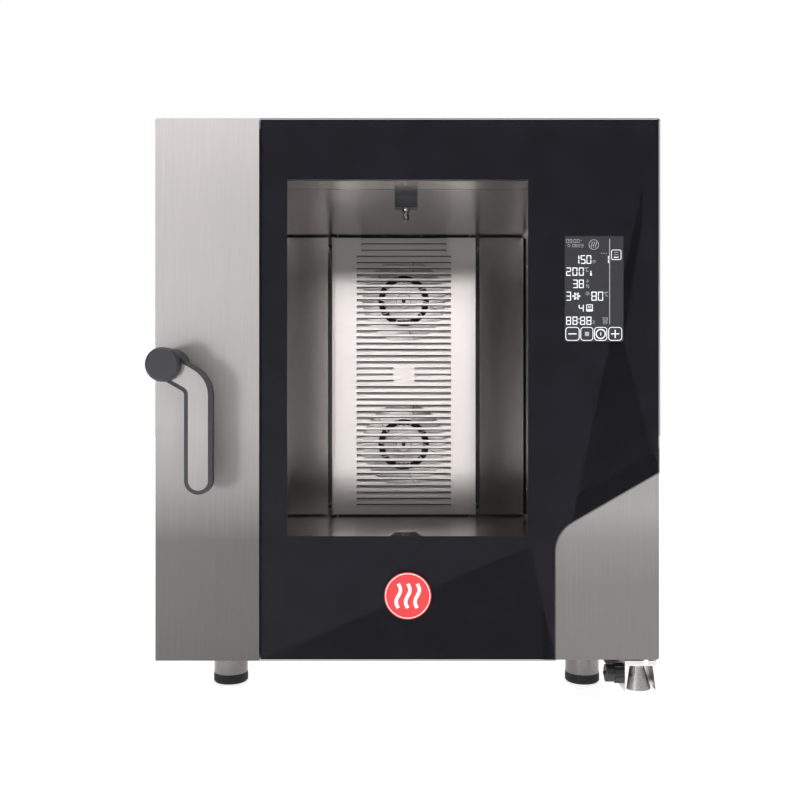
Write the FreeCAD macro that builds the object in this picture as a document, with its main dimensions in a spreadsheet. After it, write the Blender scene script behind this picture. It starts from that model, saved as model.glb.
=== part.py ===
import FreeCAD, Part
import math
import os
import re
import Sketcher

# Combi steamer oven: a double-skinned steel cabinet with one full-width glass-fronted door.
# +X is to the right of a person facing the door, +Y runs to the rear, +Z is up.
# The origin is on the floor, in the middle of the four feet.

doc = FreeCAD.newDocument("CombiSteamer")
sizes = doc.addObject("Spreadsheet::Sheet", "Sizes")

DRIVING_SIZES = {
    # casing
    "body_width": 750, "body_depth": 783, "body_height": 806, "foot_height": 70,
    "casing_sheet": 1.2, "frame_sheet": 1.5, "tray_lip": 22,
    # door
    "door_thickness": 65, "door_gap": 5, "glass_thickness": 5, "mask_thickness": 0.6,
    "strip_width": 155, "strip_seam": 0.8, "door_inset": 6, "door_sheet": 1.2, "glass_round": 4,
    "window_width": 359, "window_rise": 184.4, "window_drop": 90, "duct_margin": 22,
    "display_width": 88, "display_tall": 158, "display_side": 53, "display_drop": 174,
    "display_border": 4, "display_deep": 8, "led_width": 10, "led_deep": 12,
    # lower right corner panel
    "corner_width": 155, "corner_rise": 190, "corner_slope": 30, "corner_round": 50,
    "corner_lap": 18,
    # door hinges
    "hinge_side": 17, "hinge_setback": 18, "hinge_pin_radius": 5, "hinge_bush_wall": 3,
    "hinge_eye": 11, "hinge_plate": 6, "hinge_arm": 24, "hinge_space": 4, "hinge_tail": 60,
    "hinge_bush_long": 14, "running_clearance": 0.05,
    # inner pane
    "pane_width": 444, "pane_tall": 560, "pane_thickness": 5, "pane_gap": 0.5,
    "pane_pin_radius": 2, "pane_pin_edge": 1.5, "pane_pin_back": 4, "clamp_plate": 2,
    "clamp_grip": 20, "clamp_head": 3, "clamp_width": 22, "ear_tall": 6, "ear_reach": 5,
    # handle and latch
    "handle_side": 28, "handle_rise": 438, "hub_radius": 24.5, "hub_reach": 75, "hub_gap": 0.5,
    "lever_face": 60, "lever_deep": 16, "lever_width": 40, "lever_reach": 48, "lever_drop": 185,
    "lever_slope": 30, "lever_knee": 48, "lever_crook": 6, "inset_border": 5.8, "inset_proud": 0.8,
    "spindle_radius": 6, "spindle_socket": 30, "bush_radius": 9, "tongue_start": 6,
    "tongue_thick": 8, "tongue_wide": 14, "tongue_long": 30, "keeper_gap": 8, "keeper_sheet": 2,
    "keeper_deep": 24,
    # cavity
    "cavity_width": 516, "cavity_tall": 596, "cavity_rise": 137, "cavity_deep": 618,
    "cavity_round": 12, "liner_sheet": 1, "wool_thickness": 34, "wool_back": 25,
    "seal_inset": 10, "seal_width": 14, "seal_gap": 0.3,
    # air deflector
    "deflector_at": 538, "deflector_width": 305, "deflector_tall": 588, "deflector_sheet": 1,
    "side_gap": 8.5, "side_clear": 4, "pivot_radius": 3, "socket_radius": 7, "pivot_end": 3,
    "slot_width": 200, "slot_tall": 8.9, "slot_pitch": 13.2, "slot_rows": 41,
    "short_slot_width": 180, "short_rows": 3, "slot_first": 17.6, "baffle_gap": 4,
    "baffle_width": 290, "inlet_radius": 88.5, "post_radius": 2.6, "post_head": 3.6, "post_margin": 17,
    "bridge_width": 45, "bridge_row": 20,
    # fans, heaters and motors
    "fan_rise": 152, "fan_spacing": 307, "fan_radius": 105, "fan_eye": 54, "fan_cup": 41.7,
    "fan_deep": 46, "fan_sheet": 1.5, "fan_setback": 9, "fan_blades": 10, "fan_notch": 2.2,
    "shaft_radius": 8, "shaft_hole": 10, "motor_radius": 62, "motor_deep": 56, "motor_socket": 40,
    "heater_clear": 13, "heater_radius": "=fan_radius + heater_clear",  # follows the wheel
    "heater_tube": 4, "heater_pitch": 12, "heater_leg": 40,
    "nozzle_tube": 4, "nozzle_reach": 24,
    # washing nozzle and drain
    "wash_setback": 141, "wash_block_width": 39, "wash_block_tall": 20, "wash_tip_tall": 22,
    "wash_tip_radius": 5.3, "wash_stem": 3, "drain_setback": 230, "drain_radius": 20,
    "drain_wall": 1.5, "strainer_radius": 40, "strainer_tall": 14, "drain_level": 56,
    "drain_out": 68, "spigot_step": 0.5,
    # steam outlet
    "vent_side": 120, "vent_setback": 582, "vent_radius": 25, "vent_wall": 1.5, "vent_above": 40,
    "flap_gap": 1, "flap_thickness": 2, "flap_spindle": 3, "flap_drop": 19,
    # services
    "board_tall": 260, "board_deep": 300, "board_thick": 1.6, "board_rise": 300, "board_stand": 12,
    "cooler_size": 72, "cooler_deep": 25, "cooler_rise": 130, "cooler_radius": 33,
    "vent_slot_tall": 5, "vent_slot_pitch": 11, "vent_slot_count": 7, "panel_slot_count": 12,
    "inlet_radius_outer": 13.2, "inlet_out": 18, "inlet_rise": 60, "gland_radius": 14,
    "gland_bore": 8, "gland_out": 22, "gland_rise": 45, "service_side": 40,
    # feet and drain outlet bracket
    "foot_side": 89, "foot_setback": 138, "sleeve_radius": 27, "sleeve_wall": 1.5, "cap_tall": 15,
    "cap_radius": 27.5, "cap_gap": 0.3, "stem_radius": 8, "stem_long": 42, "sleeve_floor": 3,
    "outlet_width": 48, "outlet_side": 1, "outlet_deep": 46, "outlet_setback": 14,
    "outlet_bottom": 19.5, "outlet_sheet": 1.5, "outlet_lip": 6.5, "cone_top": 8, "cone_foot": 20.4,
    "cone_wall": 1.5, "knob_radius": 15, "knob_long": 26, "knob_gap": 0.5, "knob_rise": 44,
    "knob_forward": 14, "knob_stem": 4, "knob_flutes": 8, "gusset_reach": 26,
    # fasteners and rack studs
    "screw_head": 4, "screw_head_tall": 2, "stud_radius": 4, "stud_long": 10,
    "stud_near": 90, "stud_far": 430, "stud_low": 70, "stud_high": 520, "stud_stagger": 20,
}

for row, (alias, size) in enumerate(DRIVING_SIZES.items(), start=1):
    sizes.set(f"A{row}", str(size))
    sizes.setAlias(f"A{row}", alias)
doc.recompute()

WORD = re.compile(r"[a-z][a-z_]+")
FUNCTIONS = ("tan", "cos", "sin", "sqrt")
PLANES = {"XY": "XY_Plane", "XZ": "XZ_Plane", "YZ": "YZ_Plane"}
subparts = []


def tied(text):
    """An expression written with sheet aliases, as FreeCAD wants it on any object."""
    return WORD.sub(lambda m: m.group() if m.group() in FUNCTIONS else "Sizes." + m.group(), str(text))


def number(text):
    """The present value of such an expression."""
    return float(sizes.evalExpression(tied(text)))


def bind(thing, **properties):
    """Ties properties to expressions; a double underscore stands for a dot."""
    for name, text in properties.items():
        thing.setExpression(name.replace("__", "."), tied(text))


def keep(thing, label):
    """Makes an object a sub-part that is written out under this label."""
    thing.Label = label
    subparts.append(thing)
    return thing


def put(thing, x=0, y=0, z=0, turn=None):
    """Places an object; turn is an axis and an angle in degrees."""
    if turn:
        thing.Placement.Rotation = FreeCAD.Rotation(FreeCAD.Vector(*turn[0]), turn[1])
    bind(thing, Placement__Base__x=x, Placement__Base__y=y, Placement__Base__z=z)
    return thing


# Part primitives -----------------------------------------------------------------------------

def box(x, y, z):
    """A box between pairs of expressions, low then high, along each axis."""
    made = doc.addObject("Part::Box", "box")
    bind(made, Length=f"({x[1]}) - ({x[0]})", Width=f"({y[1]}) - ({y[0]})", Height=f"({z[1]}) - ({z[0]})")
    return put(made, x[0], y[0], z[0])


ALONG = {"X": ((0, 1, 0), 90), "Y": ((1, 0, 0), -90), "Z": None}


def rod(radius, x, y, z, length, along="Z"):
    """A cylinder that starts at a point and runs in the positive direction of an axis."""
    made = doc.addObject("Part::Cylinder", "rod")
    bind(made, Radius=radius, Height=length)
    return put(made, x, y, z, ALONG[along])


def cone(foot, top, x, y, z, length):
    """A frustum that stands on a point."""
    made = doc.addObject("Part::Cone", "cone")
    bind(made, Radius1=foot, Radius2=top, Height=length)
    return put(made, x, y, z)


def ring(radius, tube, x, y, z, turn, angle=360):
    """A torus, or a stretch of one."""
    made = doc.addObject("Part::Torus", "ring")
    made.Angle3 = angle
    bind(made, Radius1=radius, Radius2=tube)
    return put(made, x, y, z, turn)


def cut(base, *tools):
    """The base with every tool taken away."""
    made = doc.addObject("Part::Cut", "cut")
    made.Base = base
    made.Tool = tools[0] if len(tools) == 1 else group(*tools)
    return made


def fuse(*pieces):
    """Touching pieces joined into one solid."""
    made = doc.addObject("Part::MultiFuse", "fuse")
    made.Shapes = list(pieces)
    made.Refine = True
    return made


def group(*pieces):
    """Separate solids kept together."""
    made = doc.addObject("Part::Compound", "group")
    made.Links = list(pieces)
    return made


def tube(outer, wall, x, y, z, length, along="Z"):
    """A round tube, open at both ends."""
    return cut(rod(outer, x, y, z, length, along), rod(f"{outer} - ({wall})", x, y, z, length, along))


# PartDesign bodies -----------------------------------------------------------------------------

def new_body(label):
    """A body that becomes a sub-part."""
    return keep(doc.addObject("PartDesign::Body", label), label)


def sketch(body, plane, level):
    """A sketch on one of the body's origin planes, moved to a level along the plane's row axis."""
    made = body.newObject("Sketcher::SketchObject", "sketch")
    origin_plane = next(o for o in body.Origin.OriginFeatures if o.Role == PLANES[plane])
    made.AttachmentSupport = [(origin_plane, "")]
    made.MapMode = "FlatFace"
    bind(made, AttachmentOffset__Base__z=f"0 - ({level})" if plane == "XZ" else level)
    return made


def fix(made, index, point, x, y):
    """Ties a point of a sketch element to a place measured from the sketch's origin."""
    for kind, text, axis in (("DistanceX", x, -2), ("DistanceY", y, -1)):
        place = number(text)
        if abs(place) < 1e-9:
            made.addConstraint(Sketcher.Constraint("PointOnObject", index, point, axis))
            continue
        here = made.addConstraint(Sketcher.Constraint(kind, -1, 1, index, point, place))
        made.setExpression(f"Constraints[{here}]", tied(text))


def polygon(made, corners):
    """A closed outline through corners given as pairs of expressions."""
    first = made.GeometryCount
    spots = [FreeCAD.Vector(number(x), number(y), 0) for x, y in corners]
    count = len(spots)
    for i in range(count):
        made.addGeometry(Part.LineSegment(spots[i], spots[(i + 1) % count]))
    for i in range(count):
        made.addConstraint(Sketcher.Constraint("Coincident", first + i, 2, first + (i + 1) % count, 1))
    for i, (x, y) in enumerate(corners):
        fix(made, first + i, 1, x, y)


def rectangle(made, x, y):
    """A rectangle between pairs of expressions."""
    polygon(made, [(x[0], y[0]), (x[1], y[0]), (x[1], y[1]), (x[0], y[1])])


def circle(made, x, y, radius):
    """A circle about a place."""
    index = made.addGeometry(Part.Circle(FreeCAD.Vector(number(x), number(y), 0), FreeCAD.Vector(0, 0, 1),
                                         number(radius)))
    fix(made, index, 3, x, y)
    here = made.addConstraint(Sketcher.Constraint("Radius", index, number(radius)))
    made.setExpression(f"Constraints[{here}]", tied(radius))


def pad(body, plane, low, high, draw):
    """A pad of what draw sketches, from the low level to the high one."""
    outline = sketch(body, plane, low)
    draw(outline)
    made = body.newObject("PartDesign::Pad", "pad")
    made.Profile = outline
    made.Reversed = plane == "XZ"
    bind(made, Length=f"({high}) - ({low})")
    body.Tip = made
    return made


def pocket(body, plane, low, high, draw):
    """A pocket of what draw sketches, from the low level to the high one."""
    doc.recompute()
    before = body.Shape.Volume
    outline = sketch(body, plane, low)
    draw(outline)
    made = body.newObject("PartDesign::Pocket", "pocket")
    made.Profile = outline
    made.Reversed = plane != "XZ"
    bind(made, Length=f"({high}) - ({low})")
    body.Tip = made
    doc.recompute()
    if body.Shape.Volume >= before - 1e-6:
        raise RuntimeError(f"a pocket of {body.Label} cuts nothing")
    return made


def revolve(body, corners, plane="XZ"):
    """A full turn of an outline about the local Z axis."""
    outline = sketch(body, plane, 0)
    polygon(outline, corners)
    made = body.newObject("PartDesign::Revolution", "turn")
    made.Profile = outline
    made.ReferenceAxis = (outline, ["V_Axis"])
    made.Angle = 360
    body.Tip = made
    return made


def row_of(body, feature, axis_name, step, count):
    """Repeats a feature along one of the body's origin axes."""
    made = body.newObject("PartDesign::LinearPattern", "row")
    axis = next(o for o in body.Origin.OriginFeatures if o.Role == axis_name)
    made.Originals = [feature]
    made.Direction = (axis, [""])
    made.Mode = "Spacing"
    bind(made, Offset=step, Occurrences=count)
    body.Tip = made
    doc.recompute()
    return made


def turns_of(body, feature, count, about="Z_Axis"):
    """Repeats a feature about one of the body's own axes."""
    made = body.newObject("PartDesign::PolarPattern", "wheel")
    axis = next(o for o in body.Origin.OriginFeatures if o.Role == about)
    made.Originals = [feature]
    made.Axis = (axis, [""])
    made.Angle = 360
    bind(made, Occurrences=count)
    body.Tip = made
    doc.recompute()
    return made


def round_edges(body, radius, spots, axis):
    """Fillets the edges that run along an axis through given places of the other two axes."""
    doc.recompute()
    base = body.Tip
    across = [i for i in range(3) if i != "XYZ".index(axis)]
    wanted = [(number(a), number(b)) for a, b in spots]
    names = []
    for index, edge in enumerate(base.Shape.Edges, start=1):
        middle = edge.CenterOfMass
        ends = [v.Point for v in edge.Vertexes]
        straight = len(ends) == 2 and all(abs(ends[0][i] - ends[1][i]) < 1e-6 for i in across)
        if straight and any(math.dist((middle[across[0]], middle[across[1]]), w) < 0.01 for w in wanted):
            names.append(f"Edge{index}")
    made = body.newObject("PartDesign::Fillet", "round")
    if len(names) < len(wanted):
        raise RuntimeError(f"{body.Label} has no edge to round at some of {wanted}")
    made.Base = (base, names)
    bind(made, Radius=radius)
    body.Tip = made
    doc.recompute()
    return made


# Places shared by several pieces -------------------------------------------------------------

HALF = "body_width/2"
FRONT = "(0 - body_depth/2)"
REAR = "body_depth/2"
DOOR_BACK = f"({FRONT} + door_thickness)"
FRAME = f"({DOOR_BACK} + door_gap)"
FRAME_BACK = f"({FRAME} + frame_sheet)"
BASE = "foot_height"
TOP = "(foot_height + body_height)"
INNER_HALF = f"({HALF} - casing_sheet)"

CAVITY_HALF = "cavity_width/2"
CAVITY_FLOOR = f"({BASE} + cavity_rise)"
CAVITY_TOP = f"({CAVITY_FLOOR} + cavity_tall)"
CAVITY_MIDDLE = f"({CAVITY_FLOOR} + cavity_tall/2)"
CAVITY_BACK = f"({FRAME} + cavity_deep)"
WOOL_BACK = f"({CAVITY_BACK} + liner_sheet + wool_back)"

STRIP_EDGE = f"(0 - {HALF} + strip_width)"
CORNER_EDGE = f"({HALF} - corner_width)"
CORNER_KNEE = f"({BASE} + corner_rise)"
CORNER_END = f"({CORNER_KNEE} + corner_width*tan(corner_slope))"
WINDOW_LOW = f"({BASE} + window_rise)"
WINDOW_HIGH = f"({TOP} - window_drop)"
MASK_BACK = f"({FRONT} + glass_thickness + mask_thickness)"

HINGE_X = f"({HALF} - hinge_side)"
HINGE_Y = f"({FRONT} + hinge_setback)"
HINGE_LOW = f"({BASE} - hinge_space - hinge_plate)"
HINGE_HIGH = f"({TOP} - hinge_space - hinge_plate)"
CHASSIS_LEFT = f"(0 - {HALF} + door_inset)"
CHASSIS_RIGHT = f"({HALF} - door_inset)"
CHASSIS_TOP = f"({HINGE_HIGH} - hinge_space)"
CHASSIS_BOTTOM = f"({BASE} + door_inset)"
CHASSIS_FRONT = f"({MASK_BACK} + door_sheet)"
DUCT_HALF = "(window_width/2 + duct_margin)"

OUTLET_RIGHT = f"({HALF} - outlet_side)"
OUTLET_LEFT = f"({OUTLET_RIGHT} - outlet_width)"
OUTLET_NEAR = f"({FRONT} + outlet_setback)"
OUTLET_FAR = f"({OUTLET_NEAR} + outlet_deep)"

HUB_X = f"(0 - {HALF} + handle_side)"
HUB_Z = f"({BASE} + handle_rise)"
DEFLECTOR = f"({FRAME} + deflector_at)"
BAFFLE = f"({DEFLECTOR} + deflector_sheet + baffle_gap)"
FAN_FRONT = f"({BAFFLE} + deflector_sheet + fan_setback)"
FAN_LEVELS = {"lower": f"({CAVITY_FLOOR} + fan_rise)", "upper": f"({CAVITY_FLOOR} + fan_rise + fan_spacing)"}
DEFLECTOR_LOW = f"({CAVITY_MIDDLE} - deflector_tall/2)"
DEFLECTOR_HIGH = f"({CAVITY_MIDDLE} + deflector_tall/2)"


# Casing ------------------------------------------------------------------------------------------

def make_casing():
    """Base tray, side, top and rear panels, front frame."""
    tray = new_body("base_plate")
    pad(tray, "XY", BASE, f"{BASE} + tray_lip",
        lambda s: rectangle(s, (f"0 - {INNER_HALF}", INNER_HALF), (FRAME_BACK, f"{REAR} - casing_sheet")))
    pocket(tray, "XY", f"{BASE} + frame_sheet", f"{BASE} + tray_lip",
           lambda s: rectangle(s, (f"0 - {INNER_HALF} + frame_sheet", f"{INNER_HALF} - frame_sheet"),
                               (f"{FRAME_BACK} + frame_sheet", f"{REAR} - casing_sheet - frame_sheet")))

    for name, low, high in (("side_panel_left", f"0 - {HALF}", f"0 - {INNER_HALF}"),
                            ("side_panel_right", INNER_HALF, HALF)):
        panel = new_body(name)
        pad(panel, "YZ", low, high, lambda s: rectangle(s, (FRAME, REAR), (BASE, TOP)))
        first = pocket(panel, "YZ", low, high,
                       lambda s: rectangle(s, (f"{REAR} - 210", f"{REAR} - 60"),
                                           (f"{BASE} + 90", f"{BASE} + 90 + vent_slot_tall")))
        row_of(panel, first, "Z_Axis", "vent_slot_pitch", "panel_slot_count")

    lid = new_body("top_panel")
    pad(lid, "XY", f"{TOP} - casing_sheet", TOP,
        lambda s: rectangle(s, (f"0 - {INNER_HALF}", INNER_HALF), (FRAME, f"{REAR} - casing_sheet")))
    pocket(lid, "XY", f"{TOP} - casing_sheet", TOP,
           lambda s: circle(s, "0 - vent_side", f"{FRAME} + vent_setback", "vent_radius + 1"))

    rear = new_body("rear_panel")
    pad(rear, "XZ", f"{REAR} - casing_sheet", REAR,
        lambda s: rectangle(s, (f"0 - {INNER_HALF}", INNER_HALF), (BASE, TOP)))

    def service_holes(s):
        circle(s, 0, f"{BASE} + drain_level", "drain_radius + 1")
        circle(s, f"0 - {HALF} + service_side", f"{BASE} + inlet_rise", "inlet_radius_outer + 0.5")
        circle(s, f"{HALF} - service_side", f"{BASE} + gland_rise", "gland_bore + 3.5")

    pocket(rear, "XZ", f"{REAR} - casing_sheet", REAR, service_holes)
    cooler_x = f"({HALF} - service_side)"
    slot_x = (f"{cooler_x} - cooler_radius + 4", f"{cooler_x} + cooler_radius - 4")
    slot_low = f"{BASE} + cooler_rise - cooler_radius"
    first = pocket(rear, "XZ", f"{REAR} - casing_sheet", REAR,
                   lambda s: rectangle(s, slot_x, (slot_low, f"{slot_low} + vent_slot_tall")))
    slot_step = "(2*cooler_radius - vent_slot_tall)/(vent_slot_count - 1)"
    row_of(rear, first, "Z_Axis", slot_step, "vent_slot_count")

    frame = new_body("front_frame")
    pad(frame, "XZ", FRAME, FRAME_BACK,
        lambda s: rectangle(s, (f"0 - {INNER_HALF}", INNER_HALF), (BASE, f"{TOP} - casing_sheet")))
    pocket(frame, "XZ", FRAME, FRAME_BACK,
           lambda s: rectangle(s, (f"0 - {CAVITY_HALF}", CAVITY_HALF), (CAVITY_FLOOR, CAVITY_TOP)))
    round_edges(frame, "cavity_round", [(x, z) for x in (f"0 - {CAVITY_HALF}", CAVITY_HALF)
                                        for z in (CAVITY_FLOOR, CAVITY_TOP)], "Y")
    latch_hole = [(f"{centre} - tongue_wide/2 - keeper_gap", f"{centre} + tongue_long + keeper_gap")
                  for centre in (HUB_X, HUB_Z)]
    pocket(frame, "XZ", FRAME, FRAME_BACK, lambda s: rectangle(s, *latch_hole))


def make_corner_panel():
    """The door's steel lower right corner, seen through the cut in the glass and lapped behind it."""
    panel = new_body("corner_panel")
    left = f"({CORNER_EDGE} - corner_lap)"
    lift = "(corner_lap*2)"
    knee = f"({CORNER_KNEE} - corner_lap*tan(corner_slope) + {lift})"

    def skin(s):
        polygon(s, [(left, BASE), (HALF, BASE), (HALF, f"{CORNER_END} + {lift}"), (left, knee)])

    def inside(s):
        polygon(s, [(f"{left} - 1", f"{BASE} + door_sheet"), (f"{HALF} - door_sheet", f"{BASE} + door_sheet"),
                    (f"{HALF} - door_sheet", f"{CORNER_END} + {lift} + 1"), (f"{left} - 1", f"{knee} + 1")])

    pad(panel, "XZ", MASK_BACK, DOOR_BACK, skin)
    pocket(panel, "XZ", f"{MASK_BACK} + door_sheet", DOOR_BACK, inside)
    round_edges(panel, "glass_round", [(HALF, BASE)], "Y")
    pocket(panel, "XY", BASE, f"{BASE} + door_sheet",
           lambda s: circle(s, HINGE_X, HINGE_Y, "hinge_pin_radius + 1"))


# Cavity --------------------------------------------------------------------------------------------

def cavity_outline(made, grow=0):
    """The cavity's rectangular section, grown by a wall."""
    rectangle(made, (f"0 - {CAVITY_HALF} - ({grow})", f"{CAVITY_HALF} + {grow}"),
              (f"{CAVITY_FLOOR} - ({grow})", f"{CAVITY_TOP} + {grow}"))


def cavity_corners(grow=0):
    """The four corners of that section."""
    return [(x, z) for x in (f"0 - {CAVITY_HALF} - ({grow})", f"{CAVITY_HALF} + {grow}")
            for z in (f"{CAVITY_FLOOR} - ({grow})", f"{CAVITY_TOP} + {grow}")]


def make_cavity():
    """Welded cooking chamber, its rear wall, mineral wool and door seal."""
    shell = new_body("cavity_shell")
    pad(shell, "XZ", FRAME_BACK, CAVITY_BACK, lambda s: cavity_outline(s, "liner_sheet"))
    pocket(shell, "XZ", FRAME_BACK, CAVITY_BACK, cavity_outline)
    round_edges(shell, "cavity_round", cavity_corners(), "Y")
    round_edges(shell, "cavity_round + liner_sheet", cavity_corners("liner_sheet"), "Y")
    pocket(shell, "XY", CAVITY_TOP, f"{CAVITY_TOP} + liner_sheet",
           lambda s: circle(s, "0 - vent_side", f"{FRAME} + vent_setback", "vent_radius - vent_wall"))
    pocket(shell, "XY", f"{CAVITY_FLOOR} - liner_sheet", CAVITY_FLOOR,
           lambda s: circle(s, 0, f"{FRAME} + drain_setback", "drain_radius - drain_wall"))

    wall = new_body("cavity_rear_wall")
    pad(wall, "XZ", CAVITY_BACK, f"{CAVITY_BACK} + liner_sheet", lambda s: cavity_outline(s, "liner_sheet"))
    round_edges(wall, "cavity_round + liner_sheet", cavity_corners("liner_sheet"), "Y")

    def wall_holes(s):
        for level in FAN_LEVELS.values():
            circle(s, 0, level, "shaft_hole")
            circle(s, "0 - heater_leg", f"{level} + heater_radius + heater_leg/3", "heater_tube")
            circle(s, "heater_leg", f"{level} + heater_radius + heater_leg/3", "heater_tube")
            circle(s, "0 - fan_cup - 12", level, "nozzle_tube")

    pocket(wall, "XZ", CAVITY_BACK, f"{CAVITY_BACK} + liner_sheet", wall_holes)

    wool = new_body("insulation")
    pad(wool, "XZ", FRAME_BACK, WOOL_BACK, lambda s: cavity_outline(s, "liner_sheet + wool_thickness"))
    pocket(wool, "XZ", FRAME_BACK, f"{CAVITY_BACK} + liner_sheet",
           lambda s: cavity_outline(s, "liner_sheet"))
    round_edges(wool, "cavity_round + liner_sheet", cavity_corners("liner_sheet"), "Y")

    def motor_holes(s):
        for level in FAN_LEVELS.values():
            circle(s, 0, level, "shaft_hole + 6")
            circle(s, "0 - heater_leg", f"{level} + heater_radius + heater_leg/3", "heater_tube + 1")
            circle(s, "heater_leg", f"{level} + heater_radius + heater_leg/3", "heater_tube + 1")
            circle(s, "0 - fan_cup - 12", level, "nozzle_tube + 1")

    pocket(wool, "XZ", f"{CAVITY_BACK} + liner_sheet", WOOL_BACK, motor_holes)
    pocket(wool, "XY", f"{CAVITY_TOP} + liner_sheet", f"{CAVITY_TOP} + liner_sheet + wool_thickness",
           lambda s: circle(s, "0 - vent_side", f"{FRAME} + vent_setback", "vent_radius + 1"))
    pocket(wool, "XY", f"{CAVITY_FLOOR} - liner_sheet - wool_thickness", f"{CAVITY_FLOOR} - liner_sheet",
           lambda s: circle(s, 0, f"{FRAME} + drain_setback", "drain_radius + 1"))

    seal = new_body("door_gasket")
    pad(seal, "XZ", f"{DOOR_BACK} + seal_gap", FRAME, lambda s: cavity_outline(s, "seal_inset + seal_width"))
    pocket(seal, "XZ", f"{DOOR_BACK} + seal_gap", FRAME, lambda s: cavity_outline(s, "seal_inset"))
    round_edges(seal, "cavity_round + seal_inset", cavity_corners("seal_inset"), "Y")
    seal_edge = "seal_inset + seal_width"
    round_edges(seal, f"cavity_round + {seal_edge}", cavity_corners(seal_edge), "Y")

    studs = [rod("stud_radius", start, f"{FRAME} + {along} + {shift}", f"{CAVITY_FLOOR} + {level}",
                 "stud_long", "X")
             for start, shift in ((f"0 - {CAVITY_HALF}", "0"), (f"{CAVITY_HALF} - stud_long", "stud_stagger"))
             for along in ("stud_near", "stud_far") for level in ("stud_low", "stud_high")]
    keep(group(*studs), "rack_studs")


# Air deflector and fans -----------------------------------------------------------------------------

def make_deflector():
    """Slotted middle panel, the fixed panels beside it, the posts between them and the inlet baffle."""
    back = f"{DEFLECTOR} + deflector_sheet"
    panel = new_body("air_deflector")
    tall = (DEFLECTOR_LOW, DEFLECTOR_HIGH)
    pad(panel, "XZ", DEFLECTOR, back,
        lambda s: rectangle(s, ("0 - deflector_width/2", "deflector_width/2"), tall))

    def slot(width, row):
        low = f"{DEFLECTOR_LOW} + slot_first + ({row})*slot_pitch - slot_tall/2"
        return lambda s: rectangle(s, (f"0 - {width}/2", f"{width}/2"), (low, f"{low} + slot_tall"))

    first = pocket(panel, "XZ", DEFLECTOR, back, slot("slot_width", "0"))
    row_of(panel, first, "Z_Axis", "slot_pitch", "slot_rows")
    first = pocket(panel, "XZ", DEFLECTOR, back, slot("short_slot_width", "slot_rows"))
    row_of(panel, first, "Z_Axis", "slot_pitch", "short_rows")
    pad(panel, "XZ", DEFLECTOR, back,
        lambda s: rectangle(s, ("0 - bridge_width/2", "bridge_width/2"),
                            (f"{DEFLECTOR_LOW} + slot_first + (bridge_row - 0.5)*slot_pitch",
                             f"{DEFLECTOR_LOW} + slot_first + (bridge_row + 2.5)*slot_pitch")))

    pivot_x = "(pivot_radius - deflector_width/2)"
    pivot_y = f"({DEFLECTOR} + deflector_sheet/2)"
    pad(panel, "XY", f"{DEFLECTOR_LOW} - pivot_end", f"{DEFLECTOR_HIGH} + pivot_end",
        lambda s: circle(s, pivot_x, pivot_y, "pivot_radius"))

    inner = "(deflector_width/2 + side_gap)"
    outer = f"({CAVITY_HALF} - side_clear)"
    sides = []
    for near, far, flange in ((f"0 - {outer}", f"0 - {inner}", f"0 - {outer}"),
                              (inner, outer, f"{outer} - deflector_sheet")):
        face = box((near, far), (DEFLECTOR, back), tall)
        bent = box((flange, f"{flange} + deflector_sheet"), (back, CAVITY_BACK), tall)
        sides.append(fuse(face, bent))
    keep(group(*sides), "deflector_sides")

    posts = []
    for side in ("0 - (deflector_width + side_gap)/2", "(deflector_width + side_gap)/2"):
        for level in (f"{DEFLECTOR_LOW} + post_margin", f"{DEFLECTOR_HIGH} - post_margin"):
            reach = f"{CAVITY_BACK} - ({DEFLECTOR}) + 2"
            shank = rod("post_radius", side, f"{DEFLECTOR} - 2", level, reach, "Y")
            head = rod("post_head", side, f"{DEFLECTOR} - 6", level, "4", "Y")
            posts.append(fuse(shank, head))
    for low, high in ((CAVITY_FLOOR, f"{DEFLECTOR_LOW} - 0.5"), (f"{DEFLECTOR_HIGH} + 0.5", CAVITY_TOP)):
        length = f"({high}) - ({low})"
        posts.append(cut(rod("socket_radius", pivot_x, pivot_y, low, length),
                         rod("pivot_radius + running_clearance", pivot_x, pivot_y, low, length)))
    keep(group(*posts), "deflector_posts")

    baffle = new_body("inlet_baffle")
    baffle_back = f"({BAFFLE} + deflector_sheet)"
    pad(baffle, "XZ", BAFFLE, baffle_back,
        lambda s: rectangle(s, ("0 - baffle_width/2", "baffle_width/2"), (DEFLECTOR_LOW, DEFLECTOR_HIGH)))

    def inlets(s):
        for level in FAN_LEVELS.values():
            circle(s, 0, level, "inlet_radius")

    pocket(baffle, "XZ", BAFFLE, baffle_back, inlets)
    for side in ("0 - baffle_width/2", "baffle_width/2 - deflector_sheet"):
        pad(baffle, "XZ", baffle_back, CAVITY_BACK,
            lambda s: rectangle(s, (side, f"{side} + deflector_sheet"),
                                (f"{DEFLECTOR_LOW}", f"{DEFLECTOR_LOW} + 30")))
        pad(baffle, "XZ", baffle_back, CAVITY_BACK,
            lambda s: rectangle(s, (side, f"{side} + deflector_sheet"),
                                (f"{DEFLECTOR_HIGH} - 30", f"{DEFLECTOR_HIGH}")))


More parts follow.
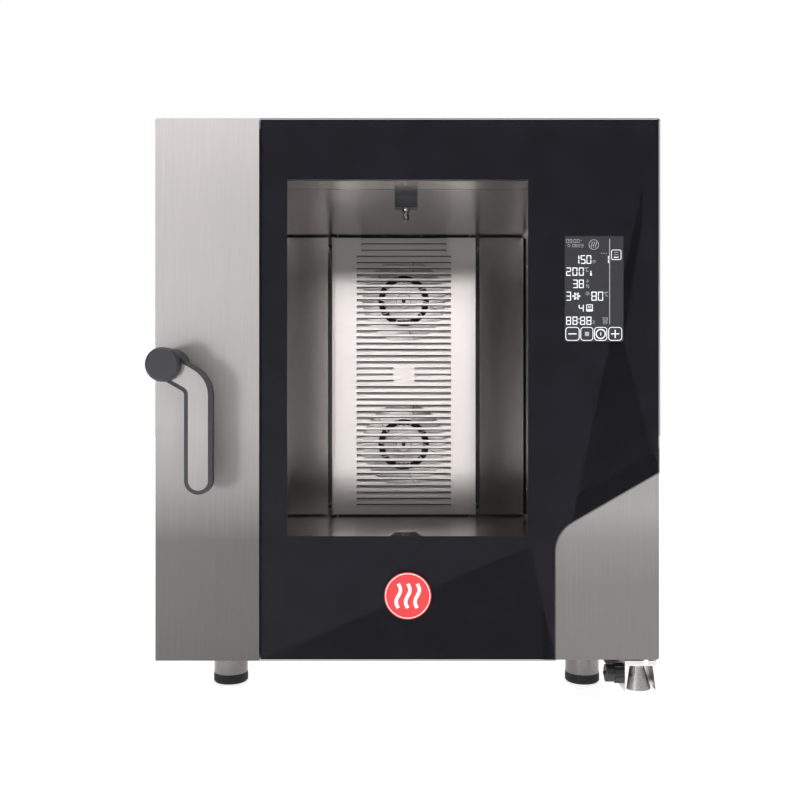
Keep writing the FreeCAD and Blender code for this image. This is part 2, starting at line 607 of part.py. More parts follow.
def make_fan(name, level):
    """A radial wheel with its front ring, cup-shaped hub and blades, and the shaft that carries it."""
    wheel = new_body(f"fan_wheel_{name}")
    rear = "fan_deep"
    cup = "fan_sheet*2"
    revolve(wheel, [("shaft_radius", cup), ("fan_cup", cup), ("fan_cup", f"{rear} - fan_sheet"),
                    ("fan_radius", f"{rear} - fan_sheet"), ("fan_radius", rear),
                    ("fan_cup - fan_sheet", rear),
                    ("fan_cup - fan_sheet", f"{cup} + fan_sheet"), ("shaft_radius*2", f"{cup} + fan_sheet"),
                    ("shaft_radius*2", "fan_deep/2"), ("shaft_radius", "fan_deep/2")])
    pad(wheel, "XY", 0, "fan_sheet", lambda s: (circle(s, 0, 0, "fan_radius"), circle(s, 0, 0, "fan_eye")))
    blade = pad(wheel, "XY", "fan_sheet/2", f"{rear} - fan_sheet/2",
                lambda s: polygon(s, [("fan_cup - fan_sheet/2", "0 - fan_sheet/2"), ("fan_radius - 3", "18"),
                                      ("fan_radius - 3", "18 + fan_sheet"),
                                      ("fan_cup - fan_sheet/2", "fan_sheet/2")]))
    turns_of(wheel, blade, "fan_blades")
    notch = pocket(wheel, "XY", cup, f"{cup} + fan_sheet*2",
                   lambda s: circle(s, "(fan_cup - 0.6)*cos(18)", "(fan_cup - 0.6)*sin(18)", "fan_notch"))
    turns_of(wheel, notch, "fan_blades")
    put(wheel, 0, FAN_FRONT, level, ALONG["Y"])

    shaft_start = f"({FAN_FRONT} + fan_sheet*2)"
    shaft = rod("shaft_radius", 0, shaft_start, level, f"{WOOL_BACK} + motor_socket - {shaft_start}", "Y")
    screw = rod("shaft_radius/2", 0, f"{shaft_start} - 2.5", level, "2.5", "Y")
    washer = cut(rod("shaft_radius*2 - 1", 0, f"{shaft_start} - 1", level, "1", "Y"),
                 rod("shaft_radius/2", 0, f"{shaft_start} - 1", level, "1", "Y"))
    keep(fuse(shaft, screw, washer), f"fan_shaft_{name}")


def make_fan_drives():
    """Motors, heating rings and water nozzles."""
    motors = []
    rings = []
    nozzles = []
    for level in FAN_LEVELS.values():
        can = rod("motor_radius", 0, f"{WOOL_BACK} + 3", level, "motor_deep - 3", "Y")
        flange = box(("0 - motor_radius - 12", "motor_radius + 12"), (WOOL_BACK, f"{WOOL_BACK} + 3"),
                     (f"{level} - motor_radius - 12", f"{level} + motor_radius + 12"))
        socket = rod("shaft_radius + running_clearance", 0, WOOL_BACK, level, "motor_socket + 2", "Y")
        leg_holes = [rod("heater_tube + 1", x, WOOL_BACK, f"{level} + heater_radius + heater_leg/3", "3", "Y")
                     for x in ("0 - heater_leg", "heater_leg")]
        nozzle_hole = rod("nozzle_tube + 1", "0 - fan_cup - 12", WOOL_BACK, level, "motor_deep", "Y")
        motors.append(cut(fuse(can, flange), socket, nozzle_hole, *leg_holes))
        coil_y = f"({FAN_FRONT} + fan_deep/2)"
        hoops = [ring("heater_radius", "heater_tube", 0, f"{coil_y} + ({step})*heater_pitch", level,
                      ALONG["Y"])
                 for step in ("0 - 0.5", "0.5")]
        joins = [box((f"{x} - heater_tube", f"{x} + heater_tube"),
                     (f"{coil_y} - heater_pitch/2 - heater_tube", f"{coil_y} + heater_pitch/2 + heater_tube"),
                     (f"{level} + sqrt(heater_radius*heater_radius - heater_leg*heater_leg) - heater_tube",
                      f"{level} + heater_radius + heater_leg/3 + heater_tube"))
                 for x in ("0 - heater_leg", "heater_leg")]
        legs = [rod("heater_tube", x, coil_y, f"{level} + heater_radius + heater_leg/3",
                    f"{WOOL_BACK} + 2 - {coil_y}", "Y") for x in ("0 - heater_leg", "heater_leg")]
        rings.append(fuse(*hoops, *joins, *legs))
        tip = f"({CAVITY_BACK} - nozzle_reach/2)"
        nozzles.append(tube("nozzle_tube", "1", "0 - fan_cup - 12", tip, level,
                            f"{WOOL_BACK} + motor_deep + 4 - {tip}", "Y"))
    keep(group(*motors), "fan_motors")
    keep(group(*rings), "heating_rings")
    keep(group(*nozzles), "water_nozzles")


# Washing, draining and venting --------------------------------------------------------------------

def make_wet_parts():
    """Ceiling wash nozzle, floor strainer, drain pipe and rear water inlet."""
    wash_y = f"({FRAME} + wash_setback)"
    block_low = f"({CAVITY_TOP} - wash_block_tall)"
    block = box(("0 - wash_block_width/2", "wash_block_width/2"),
                (f"{wash_y} - wash_block_width/3", f"{wash_y} + wash_block_width/3"), (block_low, CAVITY_TOP))
    keep(cut(block, rod("wash_stem + running_clearance", 0, wash_y, block_low, "wash_block_tall - 4")),
         "wash_block")

    rotor = new_body("wash_rotor")
    collar = "wash_tip_radius*1.3"
    revolve(rotor, [("0", "0"), ("wash_tip_radius*0.6", "0"), ("wash_tip_radius", "wash_tip_radius*0.6"),
                    ("wash_tip_radius", "wash_tip_tall*0.5"), ("wash_tip_radius*0.75", "wash_tip_tall*0.62"),
                    (collar, "wash_tip_tall*0.75"), (collar, "wash_tip_tall - 0.5"),
                    ("wash_stem", "wash_tip_tall - 0.5"), ("wash_stem", "wash_tip_tall + 12"),
                    ("0", "wash_tip_tall + 12")])
    pocket(rotor, "XZ", "0 - wash_tip_radius*1.5", "wash_tip_radius*1.5",
           lambda s: circle(s, 0, "wash_tip_tall*0.3", "1.1"))
    put(rotor, 0, wash_y, f"{block_low} - wash_tip_tall")

    drain_y = f"({FRAME} + drain_setback)"
    strainer = new_body("drain_strainer")
    revolve(strainer, [("0", "strainer_tall - 1"), ("strainer_radius*0.45", "strainer_tall - 2"),
                       ("strainer_radius*0.9", "0"), ("strainer_radius", "0"), ("strainer_radius", "1.4"),
                       ("strainer_radius*0.92", "1.8"), ("strainer_radius*0.47", "strainer_tall - 0.8"),
                       ("0", "strainer_tall")])
    hole = pocket(strainer, "XY", "0", "strainer_tall + 1",
                  lambda s: rectangle(s, ("strainer_radius*0.5", "strainer_radius*0.82"), ("0 - 1.2", "1.2")))
    turns_of(strainer, hole, "16")
    put(strainer, 0, drain_y, f"{CAVITY_FLOOR}")

    level = f"({BASE} + drain_level)"
    bend = "(drain_radius*2)"
    inner = "(drain_radius - drain_wall)"
    top = f"({CAVITY_FLOOR} - liner_sheet)"

    def pipe(radius, out):
        """The drain's route with this radius: down, round a bend, and back to the given depth."""
        down = rod(radius, 0, drain_y, f"{level} + {bend}", f"{top} - ({level} + {bend})")
        turn = ring(bend, radius, 0, f"{drain_y} + {bend}", f"{level} + {bend}", ((0, 0, 1), 0), 90)
        swap = FreeCAD.Matrix(0, 0, 1, 0, -1, 0, 0, 0, 0, -1, 0, 0, 0, 0, 0, 1)
        turn.Placement.Rotation = FreeCAD.Rotation(swap)
        away = rod(radius, 0, f"{drain_y} + {bend}", level, f"{out} - ({drain_y} + {bend})", "Y")
        return fuse(down, turn, away)

    spigot = rod("drain_radius", 0, REAR, level, "drain_out", "Y")
    keep(cut(fuse(pipe("drain_radius - spigot_step", REAR), spigot), pipe(inner, f"{REAR} + drain_out")),
         "drain_pipe")

    inlet_x = f"(0 - {HALF} + service_side)"
    inlet_z = f"({BASE} + inlet_rise)"
    neck = rod("inlet_radius_outer - spigot_step", inlet_x, f"{REAR} - 20", inlet_z, "20", "Y")
    thread = rod("inlet_radius_outer", inlet_x, REAR, inlet_z, "inlet_out", "Y")
    head = box((f"{inlet_x} - 18", f"{inlet_x} + 18"), (f"{REAR} - 56", f"{REAR} - 20"),
               (f"{inlet_z} - 18", f"{inlet_z} + 18"))
    flange = rod("17", inlet_x, f"{REAR} - casing_sheet - 3", inlet_z, "3", "Y")
    coil = rod("15", inlet_x, f"{REAR} - 38", f"{inlet_z} + 18", "34")
    bore = rod("8", inlet_x, f"{REAR} - 20", inlet_z, "20 + inlet_out", "Y")
    keep(cut(fuse(neck, thread, head, coil, flange), bore), "inlet_valve")


def make_vent():
    """Steam outlet pipe and its butterfly flap."""
    vent_x = "(0 - vent_side)"
    vent_y = f"({FRAME} + vent_setback)"
    start = f"({CAVITY_TOP} + liner_sheet)"
    flap_z = f"({TOP} - flap_drop)"
    pipe = fuse(rod("vent_radius - spigot_step", vent_x, vent_y, start, f"{TOP} - {start}"),
                rod("vent_radius", vent_x, vent_y, TOP, "vent_above"))
    hollow = rod("vent_radius - vent_wall", vent_x, vent_y, start, f"{TOP} + vent_above - {start}")
    bearing = rod("flap_spindle + running_clearance", f"{vent_x} - vent_radius - 1", vent_y, flap_z,
                  "2*vent_radius + 2", "X")
    keep(cut(pipe, hollow, bearing), "vent_pipe")
    inner = "(vent_radius - vent_wall - flap_gap)"
    disc = rod(inner, vent_x, vent_y, f"{flap_z} - flap_thickness/2", "flap_thickness")
    spindle = rod("flap_spindle", f"{vent_x} - vent_radius - 4", vent_y, flap_z, "2*vent_radius + 14", "X")
    keep(fuse(disc, spindle), "vent_flap")
    motor_x = f"({vent_x} + vent_radius + 6)"
    case = box((motor_x, f"{motor_x} + 50"), (f"{vent_y} - 20", f"{vent_y} + 20"),
               (f"{flap_z} - 14", f"{TOP} - casing_sheet"))
    socket = rod("flap_spindle + running_clearance", motor_x, vent_y, flap_z, "6", "X")
    keep(cut(case, socket), "vent_actuator")


# Electrical services ----------------------------------------------------------------------------------

def make_services():
    """Power board, cooling fan and the gland for the supply cable."""
    face = f"({INNER_HALF} - board_stand)"
    low = f"({BASE} + board_rise)"
    board_y = f"({FRAME} + 180)"
    back = f"({face} + board_thick)"
    plate = box((face, back), (board_y, f"{board_y} + board_deep"), (low, f"{low} + board_tall"))
    stands = [rod("3", back, f"{board_y} + {y}", f"{low} + {z}", f"{INNER_HALF} - {back}", "X")
              for y in ("8", "board_deep - 8") for z in ("8", "board_tall - 8")]
    parts_on_board = ((20, 20, 60, 50, 34), (100, 20, 34, 30, 22), (145, 20, 34, 30, 22), (190, 20, 34, 30, 22),
                      (235, 20, 34, 30, 22), (20, 100, 90, 60, 28), (140, 90, 40, 24, 10),
                      (20, 200, 240, 16, 12), (210, 90, 18, 80, 30))
    lumps = [box((f"{face} - {tall}", face), (f"{board_y} + {y}", f"{board_y} + {y} + {deep}"),
                 (f"{low} + {z}", f"{low} + {z} + {up}"))
             for y, z, deep, up, tall in parts_on_board]
    keep(fuse(plate, *stands, *lumps), "power_board")

    cooler_x = f"({HALF} - service_side)"
    cooler_z = f"({BASE} + cooler_rise)"
    cooler_y = f"({REAR} - casing_sheet - cooler_deep)"
    frame = cut(box((f"{cooler_x} - cooler_size/2", f"{cooler_x} + cooler_size/2"),
                    (cooler_y, f"{cooler_y} + cooler_deep"),
                    (f"{cooler_z} - cooler_size/2", f"{cooler_z} + cooler_size/2")),
                rod("cooler_radius + 1", cooler_x, cooler_y, cooler_z, "cooler_deep", "Y"))
    spoke = box((f"{cooler_x} - cooler_radius - 2", f"{cooler_x} + cooler_radius + 2"),
                (cooler_y, f"{cooler_y} + 3"), (f"{cooler_z} - 2", f"{cooler_z} + 2"))
    other = box((f"{cooler_x} - 2", f"{cooler_x} + 2"), (cooler_y, f"{cooler_y} + 3"),
                (f"{cooler_z} - cooler_radius - 2", f"{cooler_z} + cooler_radius + 2"))
    boss = rod("12", cooler_x, cooler_y, cooler_z, "4", "Y")
    bearing = rod("2 + running_clearance", cooler_x, cooler_y, cooler_z, "4", "Y")
    keep(cut(fuse(frame, spoke, other, boss), bearing), "cooling_fan_housing")

    rotor = new_body("cooling_fan_rotor")
    pad(rotor, "XY", "0 - 4", "cooler_deep - 8", lambda s: circle(s, 0, 0, "2"))
    pad(rotor, "XY", "1", "cooler_deep - 7", lambda s: circle(s, 0, 0, "13"))
    blade = pad(rotor, "XY", "3", "cooler_deep - 9",
                lambda s: polygon(s, [("12", "0 - 1"), ("cooler_radius - 1", "9"),
                                      ("cooler_radius - 1", "11"), ("12", "1")]))
    turns_of(rotor, blade, "7")
    put(rotor, cooler_x, f"{cooler_y} + 4", cooler_z, ALONG["Y"])

    gland_x = f"({HALF} - service_side)"
    gland_z = f"({BASE} + gland_rise)"
    nut = rod("gland_radius", gland_x, REAR, gland_z, "gland_out", "Y")
    stem = rod("gland_bore + 3.4", gland_x, f"{REAR} - 14", gland_z, "14", "Y")
    collar = rod("gland_radius", gland_x, f"{REAR} - casing_sheet - 6", gland_z, "6", "Y")
    bore = rod("gland_bore", gland_x, f"{REAR} - 14", gland_z, "14 + gland_out", "Y")
    keep(cut(fuse(nut, stem, collar), bore), "cable_gland")

    heads = []
    for x in (f"(0 - {INNER_HALF} + 10)", "0", f"({INNER_HALF} - 10)"):
        for z in (f"({BASE} + 10)", f"({BASE} + body_height/3)", f"({BASE} + 2*body_height/3)",
                  f"({TOP} - 12)"):
            heads.append(rod("screw_head", x, REAR, z, "screw_head_tall", "Y"))
    keep(group(*heads), "rear_screws")


# Door ----------------------------------------------------------------------------------------------

def front_outline(inset="0"):
    """The glass outline: a rectangle with the sloping cut at its lower right."""
    left = f"({STRIP_EDGE} + {inset})"
    low_right = f"({CORNER_EDGE} - {inset})"
    right = f"({HALF} - {inset})"
    rise = f"({inset})/cos(corner_slope)"
    knee = f"{CORNER_KNEE} - ({inset})*tan(corner_slope) + {rise}"
    end = f"{CORNER_KNEE} + (corner_width - {inset})*tan(corner_slope) + {rise}"
    return [(left, f"{BASE} + {inset}"), (low_right, f"{BASE} + {inset}"), (low_right, knee), (right, end),
            (right, f"{TOP} - {inset}"), (left, f"{TOP} - {inset}")]


DISPLAY_X = (f"{HALF} - display_side - display_width", f"{HALF} - display_side")
DISPLAY_Z = (f"{TOP} - display_drop - display_tall", f"{TOP} - display_drop")


def make_door_front():
    """Front glass, the black print behind it, the steel strip and the display."""
    glass = new_body("door_glass")
    pad(glass, "XZ", FRONT, f"{FRONT} + glass_thickness", lambda s: polygon(s, front_outline()))
    round_edges(glass, "glass_round", [front_outline()[4]], "Y")
    round_edges(glass, "corner_round", [front_outline()[2]], "Y")

    mask = new_body("door_mask")
    mask_front = f"{FRONT} + glass_thickness"
    pad(mask, "XZ", mask_front, MASK_BACK, lambda s: polygon(s, front_outline("0.5")))
    round_edges(mask, "corner_round", [front_outline("0.5")[2]], "Y")

    def clear_areas(s):
        rectangle(s, ("0 - window_width/2", "window_width/2"), (WINDOW_LOW, WINDOW_HIGH))
        rectangle(s, DISPLAY_X, DISPLAY_Z)

    pocket(mask, "XZ", mask_front, MASK_BACK, clear_areas)

    strip = new_body("door_strip")
    right = f"({STRIP_EDGE} - strip_seam)"
    pad(strip, "XZ", FRONT, DOOR_BACK, lambda s: rectangle(s, (f"0 - {HALF}", right), (BASE, TOP)))
    round_edges(strip, "glass_round", [(f"0 - {HALF}", TOP)], "Y")
    pocket(strip, "XZ", f"{FRONT} + door_sheet", DOOR_BACK,
           lambda s: rectangle(s, (f"0 - {HALF} + door_sheet", f"{right} + 1"),
                               (f"{BASE} + door_sheet", f"{TOP} - door_sheet")))
    pocket(strip, "XZ", FRONT, f"{FRONT} + door_sheet", lambda s: circle(s, HUB_X, HUB_Z, "bush_radius"))

    border = "display_border"
    keep(box((f"{DISPLAY_X[0]} - {border}", f"{DISPLAY_X[1]} + {border}"),
             (MASK_BACK, f"{MASK_BACK} + display_deep"),
             (f"{DISPLAY_Z[0]} - {border}", f"{DISPLAY_Z[1]} + {border}")), "display_module")
    led_x = f"(0 - {DUCT_HALF})"
    led_y = f"({CHASSIS_FRONT} + 14)"
    keep(box((led_x, f"{led_x} + led_width"), (led_y, f"{led_y} + led_deep"),
             (f"{WINDOW_LOW} + 20", f"{WINDOW_HIGH} - 20")), "led_strip")


def make_door_chassis():
    """Folded steel inner frame with the window duct, hinge lugs and ears for the inner pane."""
    chassis = new_body("door_chassis")

    def outline(wall):
        return ((f"{CHASSIS_LEFT} + {wall}", f"{CHASSIS_RIGHT} - {wall}"),
                (f"{CHASSIS_BOTTOM} + {wall}", f"{CHASSIS_TOP} - {wall}"))

    def duct(s, grow):
        rectangle(s, (f"0 - {DUCT_HALF} - ({grow})", f"{DUCT_HALF} + {grow}"),
                  (f"{WINDOW_LOW} - duct_margin/2 - ({grow})", f"{WINDOW_HIGH} + duct_margin/2 + {grow}"))

    def hollow(s):
        rectangle(s, *outline("door_sheet"))
        duct(s, "door_sheet")

    pad(chassis, "XZ", CHASSIS_FRONT, DOOR_BACK, lambda s: rectangle(s, *outline("0")))
    pocket(chassis, "XZ", CHASSIS_FRONT, f"{DOOR_BACK} - door_sheet", hollow)
    pocket(chassis, "XZ", CHASSIS_FRONT, DOOR_BACK, lambda s: duct(s, "0"))
    pocket(chassis, "XZ", f"{DOOR_BACK} - door_sheet", DOOR_BACK,
           lambda s: circle(s, HUB_X, HUB_Z, "bush_radius"))
    lug_x = (f"{HINGE_X} - hinge_eye - 4", CHASSIS_RIGHT)
    lug_y = (CHASSIS_FRONT, f"{HINGE_Y} + hinge_eye + 3")
    pad(chassis, "XY", f"{CHASSIS_TOP} - hinge_bush_long", CHASSIS_TOP, lambda s: rectangle(s, lug_x, lug_y))
    pad(chassis, "XY", CHASSIS_BOTTOM, f"{CHASSIS_BOTTOM} + hinge_bush_long",
        lambda s: rectangle(s, lug_x, lug_y))
    bush = "hinge_pin_radius + running_clearance + hinge_bush_wall"
    for low in (f"{CHASSIS_TOP} - hinge_bush_long", CHASSIS_BOTTOM):
        pocket(chassis, "XY", low, f"{low} + hinge_bush_long", lambda s: circle(s, HINGE_X, HINGE_Y, bush))
    for low in EAR_LEVELS:
        pad(chassis, "XY", low, f"{low} + ear_tall",
            lambda s: rectangle(s, (f"{PANE_AXIS_X} - ear_reach", f"{PANE_AXIS_X} + ear_reach"),
                                (DOOR_BACK, f"{PANE_AXIS_Y} + pane_pin_radius + 2")))
        pocket(chassis, "XY", low, f"{low} + ear_tall",
               lambda s: circle(s, PANE_AXIS_X, PANE_AXIS_Y, "pane_pin_radius + running_clearance"))


PANE_AXIS_X = "(pane_width/2 - pane_pin_edge)"
PANE_AXIS_Y = f"({DOOR_BACK} + pane_pin_back)"
PANE_LOW = f"({CAVITY_MIDDLE} - pane_tall/2)"
PANE_HIGH = f"({CAVITY_MIDDLE} + pane_tall/2)"
EAR_LEVELS = (f"({PANE_HIGH} + clamp_head + 0.4)", f"({PANE_LOW} - clamp_head - 0.4 - ear_tall)")


def make_inner_pane():
    """The swinging inner pane with its pivot clamps."""
    front = f"({DOOR_BACK} + pane_gap)"
    back = f"({front} + pane_thickness)"
    pane = new_body("inner_glass")
    pad(pane, "XZ", front, back,
        lambda s: rectangle(s, ("0 - pane_width/2", "pane_width/2"), (PANE_LOW, PANE_HIGH)))
    left = "(pane_width/2 - clamp_width)"
    clamps = []
    for edge, low, high, head, pin in (
            ("high", f"{PANE_HIGH} - clamp_grip", PANE_HIGH, (PANE_HIGH, f"{PANE_HIGH} + clamp_head"),
             (f"{PANE_HIGH} + clamp_head", f"{PANE_HIGH} + clamp_head + ear_tall")),
            ("low", PANE_LOW, f"{PANE_LOW} + clamp_grip", (f"{PANE_LOW} - clamp_head", PANE_LOW),
             (f"{PANE_LOW} - clamp_head - ear_tall", f"{PANE_LOW} - clamp_head"))):
        plate = box((left, "pane_width/2"), (back, f"{back} + clamp_plate"), (low, high))
        cap = box((left, "pane_width/2"), (front, f"{back} + clamp_plate"), head)
        pivot = rod("pane_pin_radius", PANE_AXIS_X, PANE_AXIS_Y, pin[0], f"({pin[1]}) - ({pin[0]})")
        clamps.append(fuse(plate, cap, pivot))
    keep(group(*clamps), "inner_glass_clamps")


def make_hinges():
    """Hinge plates and pins on the cabinet, bushes for the hinges and the handle in the door."""
    hole = rod("hinge_pin_radius", HINGE_X, HINGE_Y, HINGE_HIGH, "hinge_plate")
    arm = box((f"{HINGE_X} - hinge_arm", f"{HINGE_X} - 1"), (HINGE_Y, FRAME),
              (HINGE_HIGH, f"{HINGE_HIGH} + hinge_plate"))
    eye = rod("hinge_eye", HINGE_X, HINGE_Y, HINGE_HIGH, "hinge_plate")
    upper = cut(fuse(arm, eye), hole)

    tongue = box((OUTLET_LEFT, OUTLET_RIGHT), (OUTLET_NEAR, f"{FRAME} + hinge_tail"),
                 (HINGE_LOW, f"{HINGE_LOW} + hinge_plate"))
    spacer = box((OUTLET_LEFT, OUTLET_RIGHT), (f"{FRAME_BACK} + 2", f"{FRAME} + hinge_tail"),
                 (f"{HINGE_LOW} + hinge_plate", BASE))
    lower = cut(fuse(tongue, spacer), rod("hinge_pin_radius", HINGE_X, HINGE_Y, HINGE_LOW, "hinge_plate"))
    keep(group(upper, lower), "hinge_plates")

    upper_low = f"({CHASSIS_TOP} - hinge_bush_long)"
    upper_long = f"({HINGE_HIGH} + hinge_plate - {upper_low})"
    lower_long = f"({CHASSIS_BOTTOM} + hinge_bush_long - {HINGE_LOW})"
    keep(group(rod("hinge_pin_radius", HINGE_X, HINGE_Y, upper_low, upper_long),
               rod("hinge_pin_radius", HINGE_X, HINGE_Y, HINGE_LOW, lower_long)), "hinge_pins")

    outer = "(hinge_pin_radius + running_clearance + hinge_bush_wall)"
    inner = "(hinge_pin_radius + running_clearance)"
    bushes = [cut(rod(outer, HINGE_X, HINGE_Y, low, "hinge_bush_long"),
                  rod(inner, HINGE_X, HINGE_Y, low, "hinge_bush_long"))
              for low in (upper_low, CHASSIS_BOTTOM)]
    bush_start = f"({FRONT} + 0.2)"
    bush_long = f"{DOOR_BACK} - {bush_start}"
    bushes.append(cut(rod("bush_radius", HUB_X, bush_start, HUB_Z, bush_long, "Y"),
                      rod("spindle_radius + running_clearance", HUB_X, bush_start, HUB_Z, bush_long, "Y")))
    keep(group(*bushes), "door_bushes")


# Handle ----------------------------------------------------------------------------------------------

def lever_outline(half):
    """The cranked lever, this far to each side of its centreline, from the hub axis down."""
    side = f"({HUB_X} + lever_reach)"
    slant = f"({half})/cos(lever_slope)"
    foot = f"({HUB_Z} - lever_drop + lever_width/2 - ({half}))"
    return [(HUB_X, f"{HUB_Z} + {slant}"),
            (f"{side} + {half}", f"{HUB_Z} + {slant} - (lever_reach + {half})*tan(lever_slope)"),
            (f"{side} + {half}", foot), (f"{side} - ({half})", foot),
            (f"{side} - ({half})", f"{HUB_Z} - {slant} - (lever_reach - ({half}))*tan(lever_slope)"),
            (HUB_X, f"{HUB_Z} - {slant}")]


def make_lever(label, half, near, far, knee, crook):
    """One layer of the lever between two distances in front of the glass."""
    piece = new_body(label)
    outline = lever_outline(half)
    pad(piece, "XZ", f"{FRONT} - ({far})", f"{FRONT} - ({near})", lambda s: polygon(s, outline))
    round_edges(piece, knee, [outline[1]], "Y")
    round_edges(piece, crook, [outline[4]], "Y")
    round_edges(piece, f"{half} - 0.1", outline[2:4], "Y")
    pocket(piece, "XZ", f"{FRONT} - ({far})", f"{FRONT} - ({near})",
           lambda s: circle(s, HUB_X, HUB_Z, "hub_radius"))
    return piece


def make_handle():
    """Hub, lever, lever inset, spindle with its latch tongue, and the keeper in the cabinet."""
    hub = new_body("handle_hub")
    rear = "hub_reach - hub_gap"
    revolve(hub, [("0", "0"), ("hub_radius - 3", "0"), ("hub_radius", "3"), ("hub_radius", rear),
                  ("spindle_radius", rear), ("spindle_radius", f"{rear} - spindle_socket"),
                  ("0", f"{rear} - spindle_socket")])
    put(hub, HUB_X, f"{FRONT} - hub_reach", HUB_Z, ALONG["Y"])
    make_lever("handle_lever", "lever_width/2", "lever_face - lever_deep", "lever_face",
               "lever_knee", "lever_crook")
    make_lever("handle_inset", "(lever_width/2 - inset_border)", "lever_face", "(lever_face + inset_proud)",
               "lever_knee - inset_border", "lever_crook + inset_border")

    start = f"({FRONT} - hub_gap - spindle_socket)"
    tongue_front = f"({DOOR_BACK} + tongue_start)"
    end = f"({tongue_front} + tongue_thick)"
    bar = box((f"{HUB_X} - tongue_wide/2 - 2", f"{HUB_X} + tongue_long"), (tongue_front, end),
              (f"{HUB_Z} - tongue_wide/2", f"{HUB_Z} + tongue_wide/2"))
    keep(fuse(rod("spindle_radius", HUB_X, start, HUB_Z, f"{end} - {start}", "Y"), bar), "latch_spindle")

    low_x = f"({HUB_X} - tongue_wide/2 - keeper_gap)"
    high_x = f"({HUB_X} + tongue_long + keeper_gap)"
    low_z = f"({HUB_Z} - tongue_wide/2 - keeper_gap)"
    high_z = f"({HUB_Z} + tongue_long + keeper_gap)"
    back = f"({FRAME_BACK} + keeper_deep)"
    outer = box((f"{low_x} - keeper_sheet", f"{high_x} + keeper_sheet"), (FRAME_BACK, back),
                (f"{low_z} - keeper_sheet", f"{high_z} + keeper_sheet"))
    inner = box((low_x, high_x), (FRAME_BACK, f"{back} - keeper_sheet"), (low_z, high_z))
    keep(cut(outer, inner), "latch_keeper")


# Feet and drain outlet ---------------------------------------------------------------------------------

FOOT_X = f"({HALF} - foot_side)"
FOOT_Y = "(body_depth/2 - foot_setback)"


def make_feet():
    """Steel leg sleeves under the base and the adjustable caps in them."""
    sleeves = []
    for side, x in (("left", f"0 - {FOOT_X}"), ("right", FOOT_X)):
        for end, y in (("front", f"0 - {FOOT_Y}"), ("rear", FOOT_Y)):
            low = "(cap_tall + cap_gap)"
            wall = tube("sleeve_radius", "sleeve_wall", x, y, low, f"{BASE} - {low}")
            floor = rod("sleeve_radius", x, y, low, "sleeve_floor")
            flange = rod("sleeve_radius", x, y, f"{BASE} - sleeve_floor", "sleeve_floor")
            hole = rod("stem_radius + running_clearance", x, y, low, "sleeve_floor")
            sleeves.append(cut(fuse(wall, floor, flange), hole))
            cap = new_body(f"foot_{end}_{side}")
            revolve(cap, [("0", "0"), ("cap_radius - 2.5", "0"), ("cap_radius", "2.5"),
                          ("cap_radius", "cap_tall"), ("stem_radius", "cap_tall"),
                          ("stem_radius", "cap_tall + stem_long"),
                          ("0", "cap_tall + stem_long")])
            put(cap, x, y, 0)
    keep(group(*sleeves), "leg_sleeves")


def make_outlet():
    """Steel drain outlet below the lower hinge plate: bracket, air-break cone and valve knob."""
    wall = "outlet_sheet"
    low = "outlet_bottom"
    inner_left = f"({OUTLET_LEFT} + {wall})"
    inner_right = f"({OUTLET_RIGHT} - {wall})"
    knob_y = f"({OUTLET_NEAR} + knob_forward)"
    bracket = new_body("outlet_bracket")
    pad(bracket, "XY", low, HINGE_LOW,
        lambda s: rectangle(s, (OUTLET_LEFT, OUTLET_RIGHT), (OUTLET_NEAR, OUTLET_FAR)))
    pocket(bracket, "XY", low, f"{HINGE_LOW} - {wall}",
           lambda s: rectangle(s, (inner_left, inner_right),
                               (f"{OUTLET_NEAR} + {wall}", f"{OUTLET_FAR} - {wall}")))
    mouth_top = f"({HINGE_LOW} - {wall})"
    pocket(bracket, "XZ", OUTLET_NEAR, f"{OUTLET_NEAR} + {wall}",
           lambda s: polygon(s, [(inner_left, low), (inner_right, low),
                                 (f"{OUTLET_RIGHT} - outlet_lip", mouth_top),
                                 (f"{OUTLET_LEFT} + outlet_lip", mouth_top)]))
    pad(bracket, "XZ", f"{OUTLET_FAR} - {wall}", OUTLET_FAR,
        lambda s: polygon(s, [(OUTLET_LEFT, low), (OUTLET_LEFT, HINGE_LOW),
                              (f"{OUTLET_LEFT} - gusset_reach", HINGE_LOW)]))
    pocket(bracket, "YZ", OUTLET_LEFT, inner_left,
           lambda s: circle(s, knob_y, "knob_rise", "knob_stem + running_clearance"))

    middle = f"({OUTLET_RIGHT} - outlet_width/2)"
    cone_y = f"({OUTLET_NEAR} + outlet_deep/2)"
    length = f"{mouth_top} - {low}"
    keep(cut(cone("cone_foot", "cone_top", middle, cone_y, low, length),
             cone("cone_foot - cone_wall", "cone_top - cone_wall", middle, cone_y, low, length)),
         "outlet_cone")

    knob = new_body("outlet_knob")
    pad(knob, "YZ", "0", "knob_long*0.55", lambda s: circle(s, 0, 0, "knob_radius - 2"))
    pad(knob, "YZ", "knob_long*0.5", "knob_long", lambda s: circle(s, 0, 0, "knob_radius"))
    flute = pocket(knob, "YZ", "knob_long*0.5", "knob_long",
                   lambda s: circle(s, "knob_radius + 1.5", 0, "3.5"))
    turns_of(knob, flute, "knob_flutes", "X_Axis")
    pad(knob, "YZ", "0 - 3", "0", lambda s: circle(s, 0, 0, "3"))
    pad(knob, "YZ", "knob_long", f"knob_long + knob_gap + {wall} + 1", lambda s: circle(s, 0, 0, "knob_stem"))
    put(knob, f"{OUTLET_LEFT} - knob_gap - knob_long", knob_y, "knob_rise")


make_casing()
make_corner_panel()
make_cavity()
make_deflector()
for fan_name, fan_level in FAN_LEVELS.items():
    make_fan(fan_name, fan_level)
make_fan_drives()
make_wet_parts()
make_vent()
make_services()
make_door_front()
make_door_chassis()
make_inner_pane()
make_hinges()
make_handle()
make_feet()
make_outlet()

doc.recompute()

